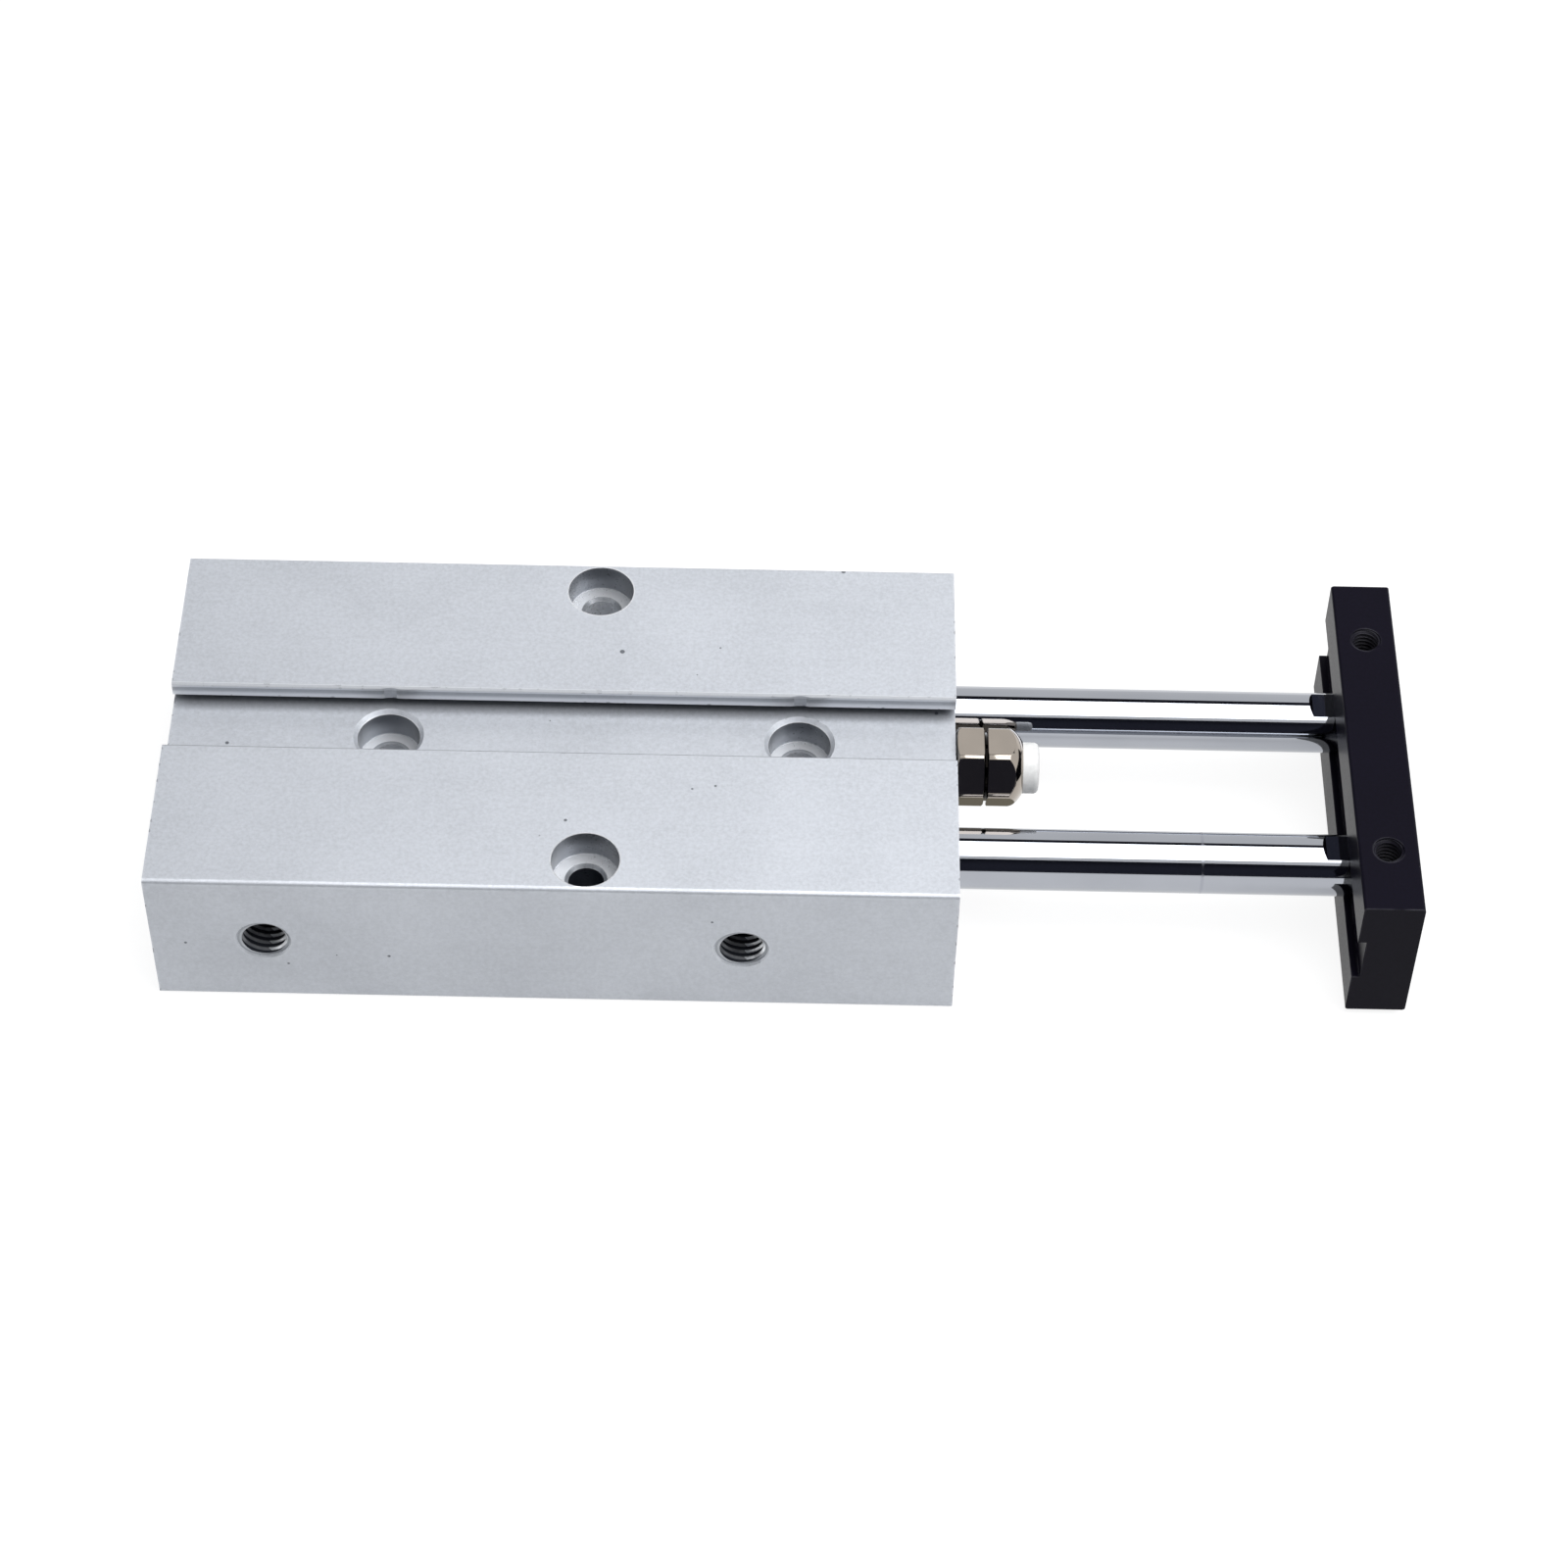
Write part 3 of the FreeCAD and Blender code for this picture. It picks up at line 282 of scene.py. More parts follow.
    # Cut holes: painted shade on the walls, and on the through-hole walls on the ported side; painted light
    # on the other through-hole walls and on the floors, with a darker grey rim round each through-hole.
    deep_wall = mix_colours(tree, ported_side, LIT_CUT_TINT, SHADE_AND_DIRT_TINT)
    wall = mix_colours(tree, hole_wall, CUT_WALL_SHADE_TINT, deep_wall)
    flat = mix_colours(tree, hole_rim, LIT_CUT_TINT, CUT_RIM_TINT)
    cut = mix_colours(tree, spread(tree, facing, 0.2, 0.5), wall, flat)
    skin = mix_colours(tree, counterbore, skin, cut)
    # Painted shade inside the air ports.
    skin = mix_colours(tree, work_out(tree, "MULTIPLY", port, ported_side), skin, SHADE_AND_DIRT_TINT)
    # Edge wear and the rear edge's painted highlight line.
    skin = mix_colours(tree, brightened, skin, BARREL_WEAR_AND_HIGHLIGHT_TINT)
    skin = mix_colours(tree, work_out(tree, "MULTIPLY", marks, 0.8), skin, SHADE_AND_DIRT_TINT)
    rough = spread(tree, blast["Tone"], 0.0, 1.0, 0.50, 0.42)
    rough = work_out(tree, "SUBTRACT", rough, work_out(tree, "MULTIPLY", counterbore, 0.16))
    rough = work_out(tree, "SUBTRACT", rough, work_out(tree, "MULTIPLY", brightened, 0.16))
    set_finish(tree, shader, skin, rough, 0.55, blast["Height"], 0.22, 0.02 * MM)
    return material


def dress(material, *names):
    """Gives CAD nodes their finish through their own material slots."""
    for name in names:
        nodes[name].material_slots[0].material = material


dress(make_clear_anodised(), "barrel")

# ---- Air port threads ---------------------------------------------------------------------------
# The two ports are drilled and tapped in the barrel's side after anodising. The tap leaves a sharp
# V-shaped ridge that winds in from the countersunk mouth; here it stands in the plain CAD bore.
# Its crest carries a painted highlight, strongest on one side, and below the mouth the ridge is painted dark
# as shade.
CREST_HIGHLIGHT_TINT = (0.86, 0.88, 0.91, 1)
ROOT_SHADE_TINT = (0.03, 0.034, 0.045, 1)
PORT_PITCH = 0.8 * MM
PORT_RADIUS = 2.5 * MM
# How far to one side the crest's painted highlight is strongest.
LIT_SIDE_SHIFT = 1.7 * MM
PORT_RIDGE = 0.42 * MM
PORT_TURNS = 6
THREAD_INSET = 0.16 * MM
WALL_OVERLAP = 0.03 * MM
STEPS_A_TURN = 40
# The ridge's section along the hole, in pitches from its middle line.
FOOT_HALF, CREST_HALF = 0.44, 0.06
RIDGE_START = 0.4


def finish_piece(name, mesh, material, body, smooth_below):
    """Makes the shaped mesh a piece of the cylinder, smooth across edges that turn less than an angle."""
    data = bpy.data.meshes.new(name)
    mesh.to_mesh(data)
    mesh.free()
    data.shade_smooth()
    data.set_sharp_from_angle(angle=math.radians(smooth_below))
    data.materials.append(material)
    piece = bpy.data.objects.new(name, data)
    bpy.context.scene.collection.objects.link(piece)
    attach(piece, body)
    return piece


def tapped_ridge(name, mouth, inward, radius, ridge, pitch, turns, material, body):
    """The ridge of a tapped hole: its section stands on the wall and is spun while it moves inward."""
    aside = inward.orthogonal().normalized()
    foot, crest = radius + WALL_OVERLAP, radius - ridge
    section = [(foot, -FOOT_HALF), (crest, -CREST_HALF), (crest, CREST_HALF), (foot, FOOT_HALF)]
    mesh = bmesh.new()
    start = mesh.faces.new([mesh.verts.new(mouth + aside * out + inward * (along - RIDGE_START) * pitch)
                            for out, along in section])
    bmesh.ops.spin(mesh, geom=[start, *start.edges, *start.verts], cent=mouth, axis=inward,
                   dvec=inward * pitch / STEPS_A_TURN, angle=2 * math.pi * turns, steps=STEPS_A_TURN * turns,
                   use_merge=False, use_duplicate=False)
    everything = [*mesh.verts, *mesh.edges, *mesh.faces]
    cut = bmesh.ops.bisect_plane(mesh, geom=everything, plane_co=mouth + inward * THREAD_INSET,
                                 plane_no=inward, clear_inner=True)["geom_cut"]
    bmesh.ops.holes_fill(mesh, edges=[item for item in cut if isinstance(item, bmesh.types.BMEdge)])
    bmesh.ops.recalc_face_normals(mesh, faces=mesh.faces)
    return finish_piece(name, mesh, material, body, smooth_below=40)


def make_tapped_aluminium():
    """Bare cut metal, with a painted highlight on the crests, strongest on one side and broken up by smears,
    and painted shade below the mouth.
    """
    material, tree, shader, place = new_material("tapped_aluminium")
    smears = add_node(tree, "TexNoise", {"Vector": place, "Scale": 700.0, "Detail": 2.0}).outputs[0]
    crest = near_axes(tree, place, PORTS, (1, 0, 1), PORT_RADIUS - 0.5 * PORT_RIDGE)
    # The crest's painted highlight, strongest on one side and broken up by smears.
    lit_spots = [(x + LIT_SIDE_SHIFT, y, z) for x, y, z in PORTS]
    brightened = near_axes(tree, place, lit_spots, (1, 0, 1), PORT_RADIUS)
    highlight_share = work_out(tree, "MULTIPLY", spread(tree, brightened, 0.0, 1.0, 0.25, 1.0),
                     spread(tree, smears, 0.30, 0.60, 0.35, 1.0))
    painted_highlight = work_out(tree, "MULTIPLY", crest, highlight_share)
    side = add_node(tree, "SeparateXYZ", {0: place}).outputs[1]
    mouth = work_out(tree, "LESS_THAN", side, barrel_low.y + PORT_MOUTH_DEPTH)
    # Painted shade in the bore below its mouth.
    skin = mix_colours(tree, mouth, ROOT_SHADE_TINT, CUT_RIM_TINT)
    skin = mix_colours(tree, painted_highlight, skin, CREST_HIGHLIGHT_TINT)
    set_finish(tree, shader, skin, spread(tree, painted_highlight, 0.0, 1.0, 0.55, 0.30), 0.7)
    return material


tapped_aluminium = make_tapped_aluminium()
for name, (port_x, _, port_height) in zip(("front_port_thread", "rear_port_thread"), PORTS):
    port_mouth = Vector((port_x, barrel_low.y, port_height))
    tapped_ridge(name, port_mouth, Vector((0, 1, 0)), PORT_RADIUS, PORT_RIDGE, PORT_PITCH, PORT_TURNS,
                 tapped_aluminium, "housing")

# ---- Covers, end caps and pistons ---------------------------------------------------------------
# Aluminium turned on a lathe from bar and left bare under a thin clear coat. The tool leaves fine
# rings, which show on the faces that close the bores at both ends of the barrel.
TURNED_TINT = (0.62, 0.63, 0.65, 1)
ROD_OFFSET = 9.2 * MM


def make_lathe_rings():
    """Fine rings round the axis of whichever bore is nearer."""
    tree, given, result = new_group("lathe_rings", [("Place", "Vector"), ("Pitch", "Float")], ["Tone"])
    place = add_node(tree, "SeparateXYZ", {0: given["Place"]}).outputs
    across = work_out(tree, "SUBTRACT", work_out(tree, "ABSOLUTE", place[1]), ROD_OFFSET)
    up = work_out(tree, "SUBTRACT", place[2], AXIS_HEIGHT)
    squared = work_out(tree, "MULTIPLY_ADD", up, up, work_out(tree, "MULTIPLY", across, across))
    radius = work_out(tree, "SQRT", squared)
    path = work_out(tree, "DIVIDE", work_out(tree, "ADD", radius, place[0]), given["Pitch"])
    rings = add_node(tree, "TexNoise", {"W": path, "Scale": 1.0, "Detail": 2.0}, noise_dimensions="1D")
    tree.links.new(spread(tree, rings.outputs[0], 0.3, 0.7), result["Tone"])
    return tree


lathe_rings = make_lathe_rings()


def make_turned(name, tint, rough, metal, pitch):
    """A turned finish: its feed rings in tone and relief, and lighter edges."""
    material, tree, shader, place = new_material(name)
    rings = use_group(tree, lathe_rings, Place=place, Pitch=pitch)["Tone"]
    wear = use_group(tree, edge_wear, Place=place, Width=0.2 * MM)["Mask"]
    skin = mix_colours(tree, rings, shaded(tint, 0.86), tint)
    skin = mix_colours(tree, wear, skin, shaded(tint, 1.3))
    rough = spread(tree, rings, 0.0, 1.0, rough * 1.2, rough * 0.85)
    set_finish(tree, shader, skin, rough, metal, rings, 0.25, 0.01 * MM)
    return material


def both_sides(*names):
    """The node names of pieces that come in a left and a right one."""
    return [f"{name}_{side}" for name in names for side in ("left", "right")]


turned_aluminium = make_turned("turned_aluminium", TURNED_TINT, 0.32, 0.8, 0.12 * MM)
dress(turned_aluminium, *both_sides("rod_cover", "end_cap", "piston"))

# ---- Guide bushes -------------------------------------------------------------------------------
# Sintered bronze, soaked in oil and pressed into the rod covers. It is dark, porous and brown.
sintered_bronze = make_turned("sintered_bronze", (0.36, 0.21, 0.10, 1), 0.42, 0.85, 0.3 * MM)
dress(sintered_bronze, *both_sides("guide_bush"))

# ---- Seals, bumpers and rings -------------------------------------------------------------------
# Moulded black nitrile for the seals, softer polyurethane for the bumpers, filled PTFE for the
# bands that carry the pistons, and plastic-bonded ferrite for the magnets that the switches sense.


def make_moulded(name, tint, rough, grain):
    """A moulded finish: nearly one colour, with the faint mottle of its filler and of handling."""
    material, tree, shader, place = new_material(name)
    filler = use_group(tree, bead_blast, Place=place, Scale=grain)
    mottle = mix_colours(tree, filler["Tone"], shaded(tint, 0.92), shaded(tint, 1.12))
    rough = spread(tree, filler["Tone"], 0.0, 1.0, rough * 1.12, rough * 0.9)
    set_finish(tree, shader, mottle, rough, 0.0, filler["Height"], 0.12, 0.01 * MM)
    return material


black_rubber = make_moulded("black_nitrile", (0.014, 0.014, 0.015, 1), 0.55, 2400.0)
bumper_rubber = make_moulded("bumper_urethane", (0.22, 0.14, 0.06, 1), 0.45, 1800.0)
bonded_ferrite = make_moulded("bonded_ferrite", (0.035, 0.033, 0.032, 1), 0.5, 5200.0)
filled_ptfe = make_moulded("filled_ptfe", (0.10, 0.075, 0.05, 1), 0.5, 3000.0)
dress(black_rubber, *both_sides("rod_seal", "cover_o_ring", "end_cap_o_ring", "piston_seal"))
dress(bumper_rubber, *both_sides("front_bumper", "rear_bumper"))
dress(bonded_ferrite, *both_sides("piston_magnet"))
dress(filled_ptfe, *both_sides("wear_ring"))

# ---- Retaining rings and screws -----------------------------------------------------------------
# The rings are stamped from spring steel and phosphated, the socket screws are black oxide steel.
# Both are oiled, so their dark skin is satin and shows grey where edges are rubbed.
RUBBED_STEEL_TINT = (0.3, 0.3, 0.31, 1)


def make_dark_steel(name, tint, rough):
    """A dark conversion coat on steel: fine crystals, worn through to grey along the edges."""
    material, tree, shader, place = new_material(name)
    crystals = use_group(tree, bead_blast, Place=place, Scale=4200.0)
    wear = use_group(tree, edge_wear, Place=place, Width=0.15 * MM)["Mask"]
    skin = mix_colours(tree, crystals["Tone"], tint, shaded(tint, 1.5))
    brightened = work_out(tree, "MULTIPLY", wear, 0.5)
    skin = mix_colours(tree, brightened, skin, RUBBED_STEEL_TINT)
    rough = spread(tree, crystals["Tone"], 0.0, 1.0, rough * 1.15, rough * 0.85)
    set_finish(tree, shader, skin, rough, 0.7, crystals["Height"], 0.12, 0.01 * MM)
    return material


phosphated_steel = make_dark_steel("phosphated_spring_steel", (0.075, 0.073, 0.07, 1), 0.42)
black_oxide = make_dark_steel("black_oxide_steel", (0.03, 0.03, 0.033, 1), 0.34)
dress(phosphated_steel, *both_sides("front_circlip", "rear_circlip"))
dress(black_oxide, *both_sides("piston_screw", "plate_screw"))

# ---- Piston rods --------------------------------------------------------------------------------
# Hardened steel, ground and hard chromed to a mirror, so they show the studio in long bands. The
# right rod carries a faint ring where it was gripped.
CHROME_TINT = (0.355, 0.37, 0.405, 1)
GRIP_MARK_TINT = (0.30, 0.31, 0.36, 1)
GRIP_MARK_X = 59.0 * MM
GRIP_MARK_WIDTH = 0.22 * MM


def make_hard_chrome(name, marked):
    """Ground and chromed steel with a thin uneven film of oil; a marked rod also has the grip's ring."""
    material, tree, shader, place = new_material(name)
    around = add_node(tree, "Mapping", {"Vector": place, "Scale": (5200, 160, 160)}).outputs[0]
    grinding = add_node(tree, "TexNoise", {"Vector": around, "Scale": 1.0, "Detail": 2.0}).outputs[0]
    film = add_node(tree, "TexNoise", {"Vector": place, "Scale": 110.0, "Detail": 3.0}).outputs[0]
    tint = mix_colours(tree, spread(tree, film, 0.35, 0.7), CHROME_TINT, shaded(CHROME_TINT, 1.08))
    rough = spread(tree, grinding, 0.3, 0.7, 0.035, 0.06)
    if marked:
        along = add_node(tree, "SeparateXYZ", {0: place}).outputs[0]
        from_mark = work_out(tree, "ABSOLUTE", work_out(tree, "SUBTRACT", along, GRIP_MARK_X))
        mark = spread(tree, from_mark, GRIP_MARK_WIDTH, 0.3 * GRIP_MARK_WIDTH)
        tint = mix_colours(tree, work_out(tree, "MULTIPLY", mark, 0.45), tint, GRIP_MARK_TINT)
        rough = work_out(tree, "MULTIPLY_ADD", mark, 0.16, rough)
    set_finish(tree, shader, tint, rough, 1.0, grinding, 0.03, 0.004 * MM)
    return material


dress(make_hard_chrome("hard_chrome", False), "piston_rod_left")
dress(make_hard_chrome("hard_chrome_marked", True), "piston_rod_right")

# ---- Stop bolt and lock nut ---------------------------------------------------------------------
# Steel hexagons turned down to cones at their corners, then barrel polished and nickel plated, so
# every edge is softly rounded. The bolt's nose is cut back further. Facets that face down carry
# painted shade, and so do the seams before and behind the nut.
NICKEL_TINT, NICKEL_GLANCE = (0.37, 0.33, 0.29, 1), (1, 1, 1, 1)
# Painted shade for facets that face down, and for the seams.
UNDERSIDE_SHADE_TINT, UNDERSIDE_SHADE_GLANCE = (0.115, 0.100, 0.080, 1), (0.30, 0.29, 0.25, 1)
SEAM_SHADE_TINT = (0.010, 0.009, 0.008, 1)
HEX_ACROSS_FLATS = 7 * MM
HEX_TURN = math.radians(57)
CORNER_RADIUS = HEX_ACROSS_FLATS / math.sqrt(3)
OUTER_FACE_RADIUS = 3.3 * MM
INNER_FACE_RADIUS = 3.65 * MM
FACE_CONE = math.radians(25)
RIM_RADIUS = CORNER_RADIUS + 0.2 * MM
HEAD_GAP = 0.25 * MM
WASHER_FACE = 0.2 * MM
NOSE_RADIUS = 2.65 * MM
NOSE_LENGTH = 2.6 * MM
NOSE_STEPS = 12
NOSE_BEND_BACK, NOSE_BEND_OUT = 0.35, 0.97
STOP_SHANK_RADIUS = 1.97 * MM
SHANK_CHAMFER = 0.3 * MM
SHANK_IN_HEAD = 0.2 * MM
NUT_CORNER_ROUNDING, HEAD_CORNER_ROUNDING = 0.25 * MM, 0.4 * MM
NUT_POLISH, HEAD_POLISH = 0.07 * MM, 0.08 * MM
SHARP_ABOVE = math.radians(17)
HEX_SMOOTH_BELOW, SHANK_SMOOTH_BELOW = 24, 30
BROAD_FLAT = 4 * MM ** 2
BARREL_SEAM_REACH, NUT_SEAM_REACH = 0.16 * MM, 0.24 * MM

nut_low, nut_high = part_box("lock_nut")
bolt_low, bolt_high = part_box("stop_bolt")
bolt_axis = Vector((0, 0, (bolt_low.z + bolt_high.z) / 2))
head_back = nut_high.x + HEAD_GAP


def make_nickel_plate():
    """Bright nickel, with painted shade in the seams before and behind the nut and on facets that face down.
    """
    material, tree, shader, place = new_material("bright_nickel")
    ripple = add_node(tree, "TexNoise", {"Vector": place, "Scale": 900.0, "Detail": 2.0}).outputs[0]
    cloud = add_node(tree, "TexNoise", {"Vector": place, "Scale": 260.0, "Detail": 2.0}).outputs[0]
    tint = mix_colours(tree, spread(tree, cloud, 0.35, 0.65), NICKEL_TINT, shaded(NICKEL_TINT, 1.08))
    along = add_node(tree, "SeparateXYZ", {0: place}).outputs[0]
    # Painted shade in the seams before and behind the nut.
    seams = ((nut_low.x, BARREL_SEAM_REACH), ((nut_high.x + head_back) / 2, NUT_SEAM_REACH))
    for seam_x, reach in seams:
        away = work_out(tree, "ABSOLUTE", work_out(tree, "SUBTRACT", along, seam_x))
        tint = mix_colours(tree, spread(tree, away, reach, 0.7 * reach), tint, SEAM_SHADE_TINT)
    facing = add_node(tree, "SeparateXYZ", {0: add_node(tree, "NewGeometry").outputs["Normal"]}).outputs[2]
    # Painted shade on facets that face down, in their colour and in the tint of their reflection.
    underside_shade = spread(tree, facing, -0.25, -0.50)
    tint = mix_colours(tree, underside_shade, tint, UNDERSIDE_SHADE_TINT)
    glance = mix_colours(tree, underside_shade, NICKEL_GLANCE, UNDERSIDE_SHADE_GLANCE)
    tree.links.new(glance, shader.inputs["Specular Tint"])
    set_finish(tree, shader, tint, spread(tree, ripple, 0.3, 0.7, 0.06, 0.10), 1.0, ripple, 0.08, 0.01 * MM)
    return material


nickel_plate = make_nickel_plate()


def hex_prism(axis_point, back, front, rounding):
    """A hexagonal bar along X with its six long edges rounded."""
    mesh = bmesh.new()
    to_x = Matrix.Rotation(math.radians(90), 4, "Y")
    turn = Matrix.Rotation(HEX_TURN, 4, "X")
    place = Matrix.Translation(Vector((back, axis_point.y, axis_point.z)))
    bmesh.ops.create_circle(mesh, cap_ends=True, segments=6, radius=CORNER_RADIUS,
                            matrix=place @ turn @ to_x)
    grown = bmesh.ops.extrude_face_region(mesh, geom=mesh.faces[:])
    raised = [item for item in grown["geom"] if isinstance(item, bmesh.types.BMVert)]
    bmesh.ops.translate(mesh, verts=raised, vec=(front - back, 0, 0))
    long_edges = [edge for edge in mesh.edges
                  if abs(edge.verts[0].co.x - edge.verts[1].co.x) > 0.5 * (front - back)]
    bmesh.ops.bevel(mesh, geom=long_edges, offset=rounding, segments=4, profile=0.5, affect="EDGES",
                    material=-1)
    bmesh.ops.recalc_face_normals(mesh, faces=mesh.faces)
    return mesh


def turned_blank(axis_point, outline):
    """A solid of revolution about the bolt's axis, from (x, radius) points that start and end on it."""
    mesh = bmesh.new()
    points = [mesh.verts.new((x, axis_point.y, axis_point.z + radius)) for x, radius in outline]
    lines = [mesh.edges.new(pair) for pair in zip(points, points[1:])]
    bmesh.ops.spin(mesh, geom=points + lines, cent=axis_point, axis=(1, 0, 0), angle=2 * math.pi, steps=96,
                   use_merge=True, use_duplicate=False)
    bmesh.ops.remove_doubles(mesh, verts=mesh.verts, dist=1e-6)
    bmesh.ops.recalc_face_normals(mesh, faces=mesh.faces)
    return mesh


def in_common(first, second):
    """The mesh of the space that two closed meshes share."""
    holders = []
    for mesh in (first, second):
        data = bpy.data.meshes.new("blank")
        mesh.to_mesh(data)
        mesh.free()
        holder = bpy.data.objects.new("blank", data)
        bpy.context.scene.collection.objects.link(holder)
        holders.append(holder)
    cut = holders[0].modifiers.new("cut", "BOOLEAN")
    cut.operation = "INTERSECT"
    cut.object = holders[1]
    bpy.context.view_layer.update()
    shaped = holders[0].evaluated_get(bpy.context.evaluated_depsgraph_get()).to_mesh()
    mesh = bmesh.new()
    mesh.from_mesh(shaped)
    for holder in holders:
        bpy.data.meshes.remove(holder.data)
    return mesh


def polished(mesh, width):
    """Rounds what sharp edges are left, as tumbling with plastic chips does."""
    bmesh.ops.remove_doubles(mesh, verts=mesh.verts, dist=2e-6)
    sharp = [edge for edge in mesh.edges if edge.is_manifold and edge.calc_face_angle() > SHARP_ABOVE]
    bmesh.ops.bevel(mesh, geom=sharp, offset=width, segments=3, profile=0.5, affect="EDGES",
                    clamp_overlap=True, material=-1)
    return mesh


def plated_hexagon(name, prism, outline, polish, body, node):
    """The plated piece that a turned outline leaves of a hexagonal bar, and that stands for a node."""
    mesh = polished(in_common(prism, turned_blank(bolt_axis, outline)), polish)
    piece = finish_piece(name, mesh, nickel_plate, body, HEX_SMOOTH_BELOW)
    # The broad flats stay flat, so that they mirror without a bend.
    for face in piece.data.polygons:
        face.use_smooth = face.area < BROAD_FLAT
    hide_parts(node)


outer_drop = (RIM_RADIUS - OUTER_FACE_RADIUS) * math.tan(FACE_CONE)
inner_drop = (RIM_RADIUS - INNER_FACE_RADIUS) * math.tan(FACE_CONE)
nut_outline = [(nut_low.x, 0), (nut_low.x, OUTER_FACE_RADIUS), (nut_low.x + outer_drop, RIM_RADIUS),
               (nut_high.x - inner_drop, RIM_RADIUS), (nut_high.x, INNER_FACE_RADIUS), (nut_high.x, 0)]
nut_bar = hex_prism(bolt_axis, nut_low.x, nut_high.x, NUT_CORNER_ROUNDING)
plated_hexagon("plated_lock_nut", nut_bar, nut_outline, NUT_POLISH, "nut", "lock_nut")

nose_start = Vector((bolt_high.x - NOSE_LENGTH, RIM_RADIUS))
nose_bend = Vector((bolt_high.x - NOSE_BEND_BACK * NOSE_LENGTH, NOSE_BEND_OUT * RIM_RADIUS))
nose_end = Vector((bolt_high.x, NOSE_RADIUS))
nose = []
for step in range(NOSE_STEPS + 1):
    share = step / NOSE_STEPS
    nose.append(nose_start.lerp(nose_bend, share).lerp(nose_bend.lerp(nose_end, share), share))
washer_back = head_back - WASHER_FACE
head_outline = [(washer_back, 0), (washer_back, OUTER_FACE_RADIUS), (head_back, OUTER_FACE_RADIUS),
                (head_back, INNER_FACE_RADIUS), (head_back + inner_drop, RIM_RADIUS), *nose, (bolt_high.x, 0)]
head_bar = hex_prism(bolt_axis, washer_back, bolt_high.x, HEAD_CORNER_ROUNDING)
plated_hexagon("plated_bolt_head", head_bar, head_outline, HEAD_POLISH, "stop", "stop_bolt")

shank_front = head_back + SHANK_IN_HEAD
shank_outline = [(bolt_low.x, 0), (bolt_low.x, STOP_SHANK_RADIUS - SHANK_CHAMFER),
                 (bolt_low.x + SHANK_CHAMFER, STOP_SHANK_RADIUS), (shank_front, STOP_SHANK_RADIUS),
                 (shank_front, 0)]
shank_piece = finish_piece("plated_bolt_shank", turned_blank(bolt_axis, shank_outline), nickel_plate, "stop",
                           SHANK_SMOOTH_BELOW)
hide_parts("stop_bolt")

# ---- Stop bumper --------------------------------------------------------------------------------
# A white acetal button pressed into the bolt's head, satin and very slightly mottled. The tool plate
# lands on it at the end of the return stroke.
ACETAL_TINT = (0.765, 0.77, 0.765, 1)
dress(make_moulded("white_acetal", ACETAL_TINT, 0.42, 1500.0), "stop_bumper")

# ---- Tool plate ---------------------------------------------------------------------------------
# A milled aluminium bar, black anodised, screwed to the ends of both rods. Its long corners are
# rubbed to a thin grey line, and its tapped holes are cut before the anodising, so they are black.
PLATE_TINT = (0.0044, 0.0038, 0.0080, 1)
PLATE_WEAR_TINT = (0.25, 0.25, 0.28, 1)
DUST_TINT = (0.4, 0.4, 0.4, 1)
PLATE_PITCH = 0.5 * MM
PLATE_HOLE_RADIUS = 1.5 * MM
PLATE_RIDGE = 0.26 * MM
TOP_HOLE_OFFSET = 13.5 * MM
TOP_HOLE_TURNS = 8
TOOL_HOLE_OFFSET, TOOL_HOLE_RISE = 17 * MM, 4.6 * MM
TOOL_HOLE_TURNS = 7


def make_black_anodised():
    """A thin black skin with a fine grain, rubbed grey along its edges, with a little dust."""
    material, tree, shader, place = new_material("black_anodised")
    skin_grain = use_group(tree, bead_blast, Place=place, Scale=3200.0)
    wear = use_group(tree, edge_wear, Place=place, Width=0.3 * MM)["Mask"]
    dust = use_group(tree, specks, Place=place, Scale=700.0, Share=0.03)["Mask"]
    skin = mix_colours(tree, skin_grain["Tone"], PLATE_TINT, shaded(PLATE_TINT, 1.5))
    skin = mix_colours(tree, work_out(tree, "MULTIPLY", wear, 0.22), skin, PLATE_WEAR_TINT)
    skin = mix_colours(tree, work_out(tree, "MULTIPLY", dust, 0.06), skin, DUST_TINT)
    rough = spread(tree, skin_grain["Tone"], 0.0, 1.0, 0.38, 0.30)
    set_finish(tree, shader, skin, rough, 0.0, skin_grain["Height"], 0.15, 0.01 * MM)
    shader.inputs["Specular IOR Level"].default_value = 0.05
    return material


black_anodised = make_black_anodised()
dress(black_anodised, "tool_plate")

plate_low, plate_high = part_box("tool_plate")
plate_middle = (plate_low + plate_high) / 2
for side, name in ((1, "left"), (-1, "right")):
    top_mouth = Vector((plate_middle.x, side * TOP_HOLE_OFFSET, plate_high.z))
    tapped_ridge(f"plate_top_thread_{name}", top_mouth, Vector((0, 0, -1)), PLATE_HOLE_RADIUS, PLATE_RIDGE,
                 PLATE_PITCH, TOP_HOLE_TURNS, black_anodised, "carriage")
    for up, level in ((1, "upper"), (-1, "lower")):
        tool_mouth = Vector((plate_high.x, side * TOOL_HOLE_OFFSET, plate_middle.z + up * TOOL_HOLE_RISE))
        tapped_ridge(f"tool_thread_{level}_{name}", tool_mouth, Vector((-1, 0, 0)), PLATE_HOLE_RADIUS,
                     PLATE_RIDGE, PLATE_PITCH, TOOL_HOLE_TURNS, black_anodised, "carriage")

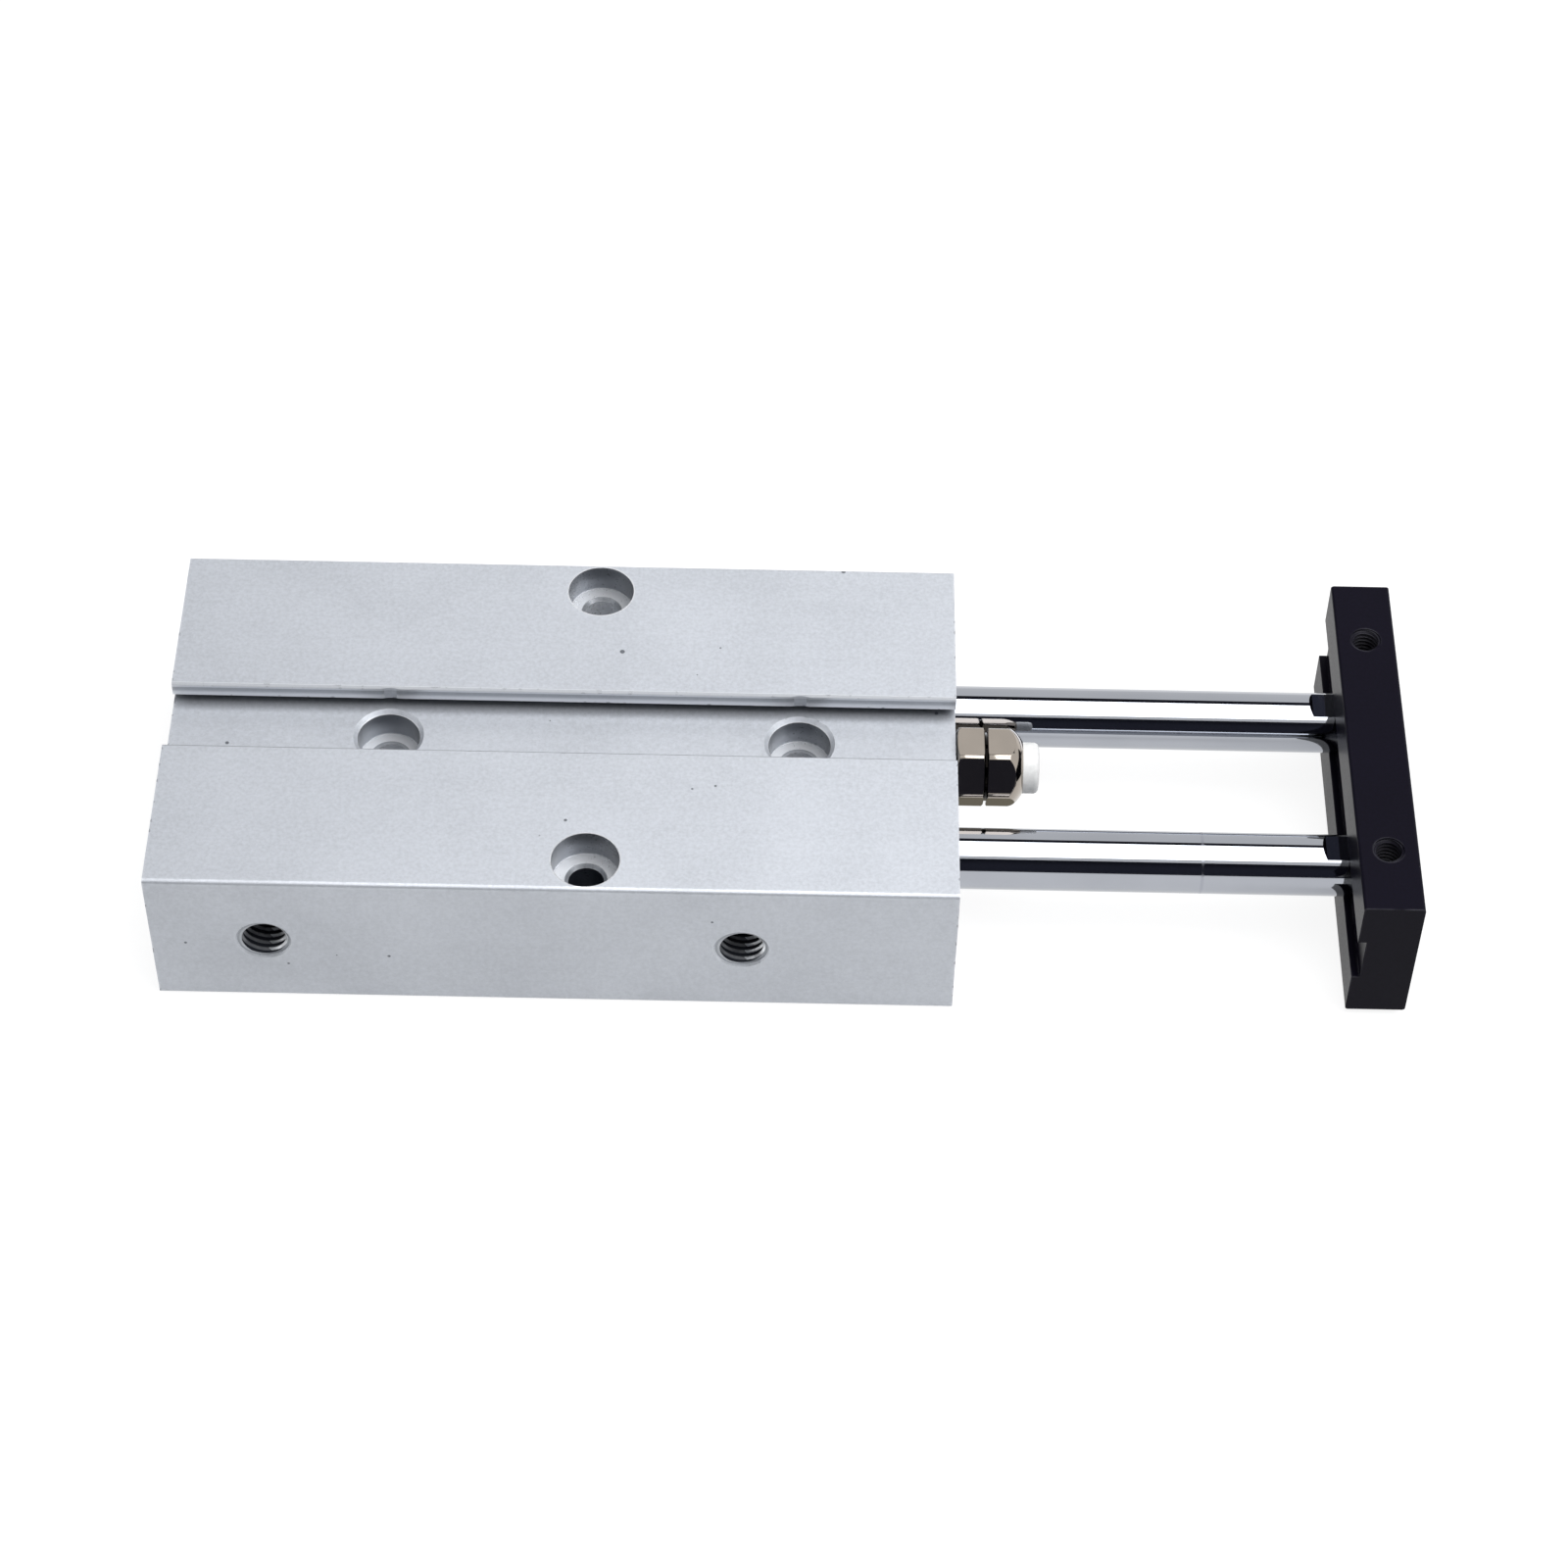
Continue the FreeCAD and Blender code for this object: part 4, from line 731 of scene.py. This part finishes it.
# ---- Studio -------------------------------------------------------------------------------------
# A white sweep under a large overhead softbox, with an even fill. Three dark cards stand where metal
# picks them up as dark bands and as a fall of tone; they shade nothing and aren't seen themselves.
SWEEP_TINT, SWEEP_GRAIN_TINT = (0.23, 0.23, 0.23, 1), (0.25, 0.25, 0.25, 1)
SWEEP_GLOW = 0.86
FLOOR_SIZE = 8.0
FLOOR_DROP = 0.02 * MM
CARD_TINT = (0.040, 0.042, 0.060, 1)
CARDS = {"near_card": ((0, -0.80, 0.48), (3.0, 0.88), (0, 1, 0)),
         "far_card": ((0, 0.50, 0.78), (3.0, 0.50), (0, -1, 0)),
         "left_card": ((-0.62, 0.46, 0.45), (0.90, 0.90), (0, -1, 0))}
SOFTBOX_HEIGHT = 0.70
SOFTBOX_SIZE = (0.88, 0.76)
SOFTBOX_PLACE = (0.43, -0.04)
SOFTBOX_POWER = 7.5
FILL_TINT = (0.97, 0.98, 1.0, 1)
FILL_STRENGTH = 0.50
WHITE = (1, 1, 1, 1)


def seen_by_eye_or_mirror(tree):
    """1 for rays that a viewer sees straight, in polished metal or through glass."""
    path = add_node(tree, "LightPath").outputs
    seen = work_out(tree, "MAXIMUM", path["Is Camera Ray"], path["Is Glossy Ray"])
    return work_out(tree, "MAXIMUM", seen, path["Is Transmission Ray"])


def make_sweep():
    """A faintly grained white that also glows a little, so that it stays an even white."""
    material, tree, shader, place = new_material("white_sweep")
    grain = add_node(tree, "TexNoise", {"Vector": place, "Scale": 900.0, "Detail": 2.0}).outputs[0]
    tree.links.new(mix_colours(tree, grain, SWEEP_TINT, SWEEP_GRAIN_TINT), shader.inputs["Base Color"])
    glow = work_out(tree, "MULTIPLY", seen_by_eye_or_mirror(tree), SWEEP_GLOW)
    tree.links.new(glow, shader.inputs["Emission Strength"])
    shader.inputs["Emission Color"].default_value = WHITE
    shader.inputs["Roughness"].default_value = 0.9
    shader.inputs["Specular IOR Level"].default_value = 0.0
    return material


def make_dark_card():
    """Plain matt dark card."""
    material, _, shader, _ = new_material("dark_card")
    shader.inputs["Base Color"].default_value = CARD_TINT
    shader.inputs["Roughness"].default_value = 1.0
    shader.inputs["Specular IOR Level"].default_value = 0.0
    return material


def flat_card(name, middle, size, facing, material):
    """A flat sheet of the studio, size wide and high, that faces a direction."""
    mesh = bmesh.new()
    bmesh.ops.create_grid(mesh, x_segments=1, y_segments=1, size=0.5)
    bmesh.ops.scale(mesh, vec=(size[0], size[1], 1), verts=mesh.verts)
    turn = Vector(facing).to_track_quat("Z", "Y").to_matrix().to_4x4()
    bmesh.ops.transform(mesh, matrix=Matrix.Translation(middle) @ turn, verts=mesh.verts)
    data = bpy.data.meshes.new(name)
    mesh.to_mesh(data)
    mesh.free()
    data.materials.append(material)
    card = bpy.data.objects.new(name, data)
    bpy.context.scene.collection.objects.link(card)
    return card


flat_card("sweep", (0, 0, -FLOOR_DROP), (FLOOR_SIZE, FLOOR_SIZE), (0, 0, 1), make_sweep())

dark_card = make_dark_card()
for name, (middle, size, facing) in CARDS.items():
    card = flat_card(name, middle, size, facing, dark_card)
    card.visible_camera = False
    card.visible_diffuse = False
    card.visible_shadow = False
    card.visible_transmission = False

softbox = bpy.data.lights.new("softbox", "AREA")
softbox.shape = "RECTANGLE"
softbox.size, softbox.size_y = SOFTBOX_SIZE
softbox.energy = SOFTBOX_POWER
softbox_stand = bpy.data.objects.new("softbox", softbox)
softbox_stand.location = (*SOFTBOX_PLACE, SOFTBOX_HEIGHT)
bpy.context.scene.collection.objects.link(softbox_stand)

world = bpy.data.worlds.new("studio")
bpy.context.scene.world = world
world.use_nodes = True
sky = world.node_tree
for old in list(sky.nodes):
    sky.nodes.remove(old)
fill = add_node(sky, "Background", {"Color": FILL_TINT, "Strength": FILL_STRENGTH}).outputs[0]
backdrop = add_node(sky, "Background", {"Color": WHITE, "Strength": 1.0}).outputs[0]
shown = add_node(sky, "MixShader", {0: seen_by_eye_or_mirror(sky), 1: fill, 2: backdrop}).outputs[0]
add_node(sky, "OutputWorld", {"Surface": shown})

# ---- Camera -------------------------------------------------------------------------------------
# It stands in front of the barrel's ported side and looks down at the face with the T-slot.
CAMERA_PLACE = (0.01781773, -0.25330308, 0.3053301)
CAMERA_TURN = (40.44648699, -0.8168919, 0.78860755)
CAMERA_LENS = 91.018

camera = bpy.data.cameras.new("camera")
camera.lens = CAMERA_LENS
camera.sensor_width = 36
camera.clip_start = 0.01
camera_stand = bpy.data.objects.new("camera", camera)
camera_stand.location = CAMERA_PLACE
camera_stand.rotation_euler = [math.radians(angle) for angle in CAMERA_TURN]
bpy.context.scene.collection.objects.link(camera_stand)
bpy.context.scene.camera = camera_stand
bpy.context.scene.view_settings.view_transform = "Standard"

bpy.context.view_layer.update()
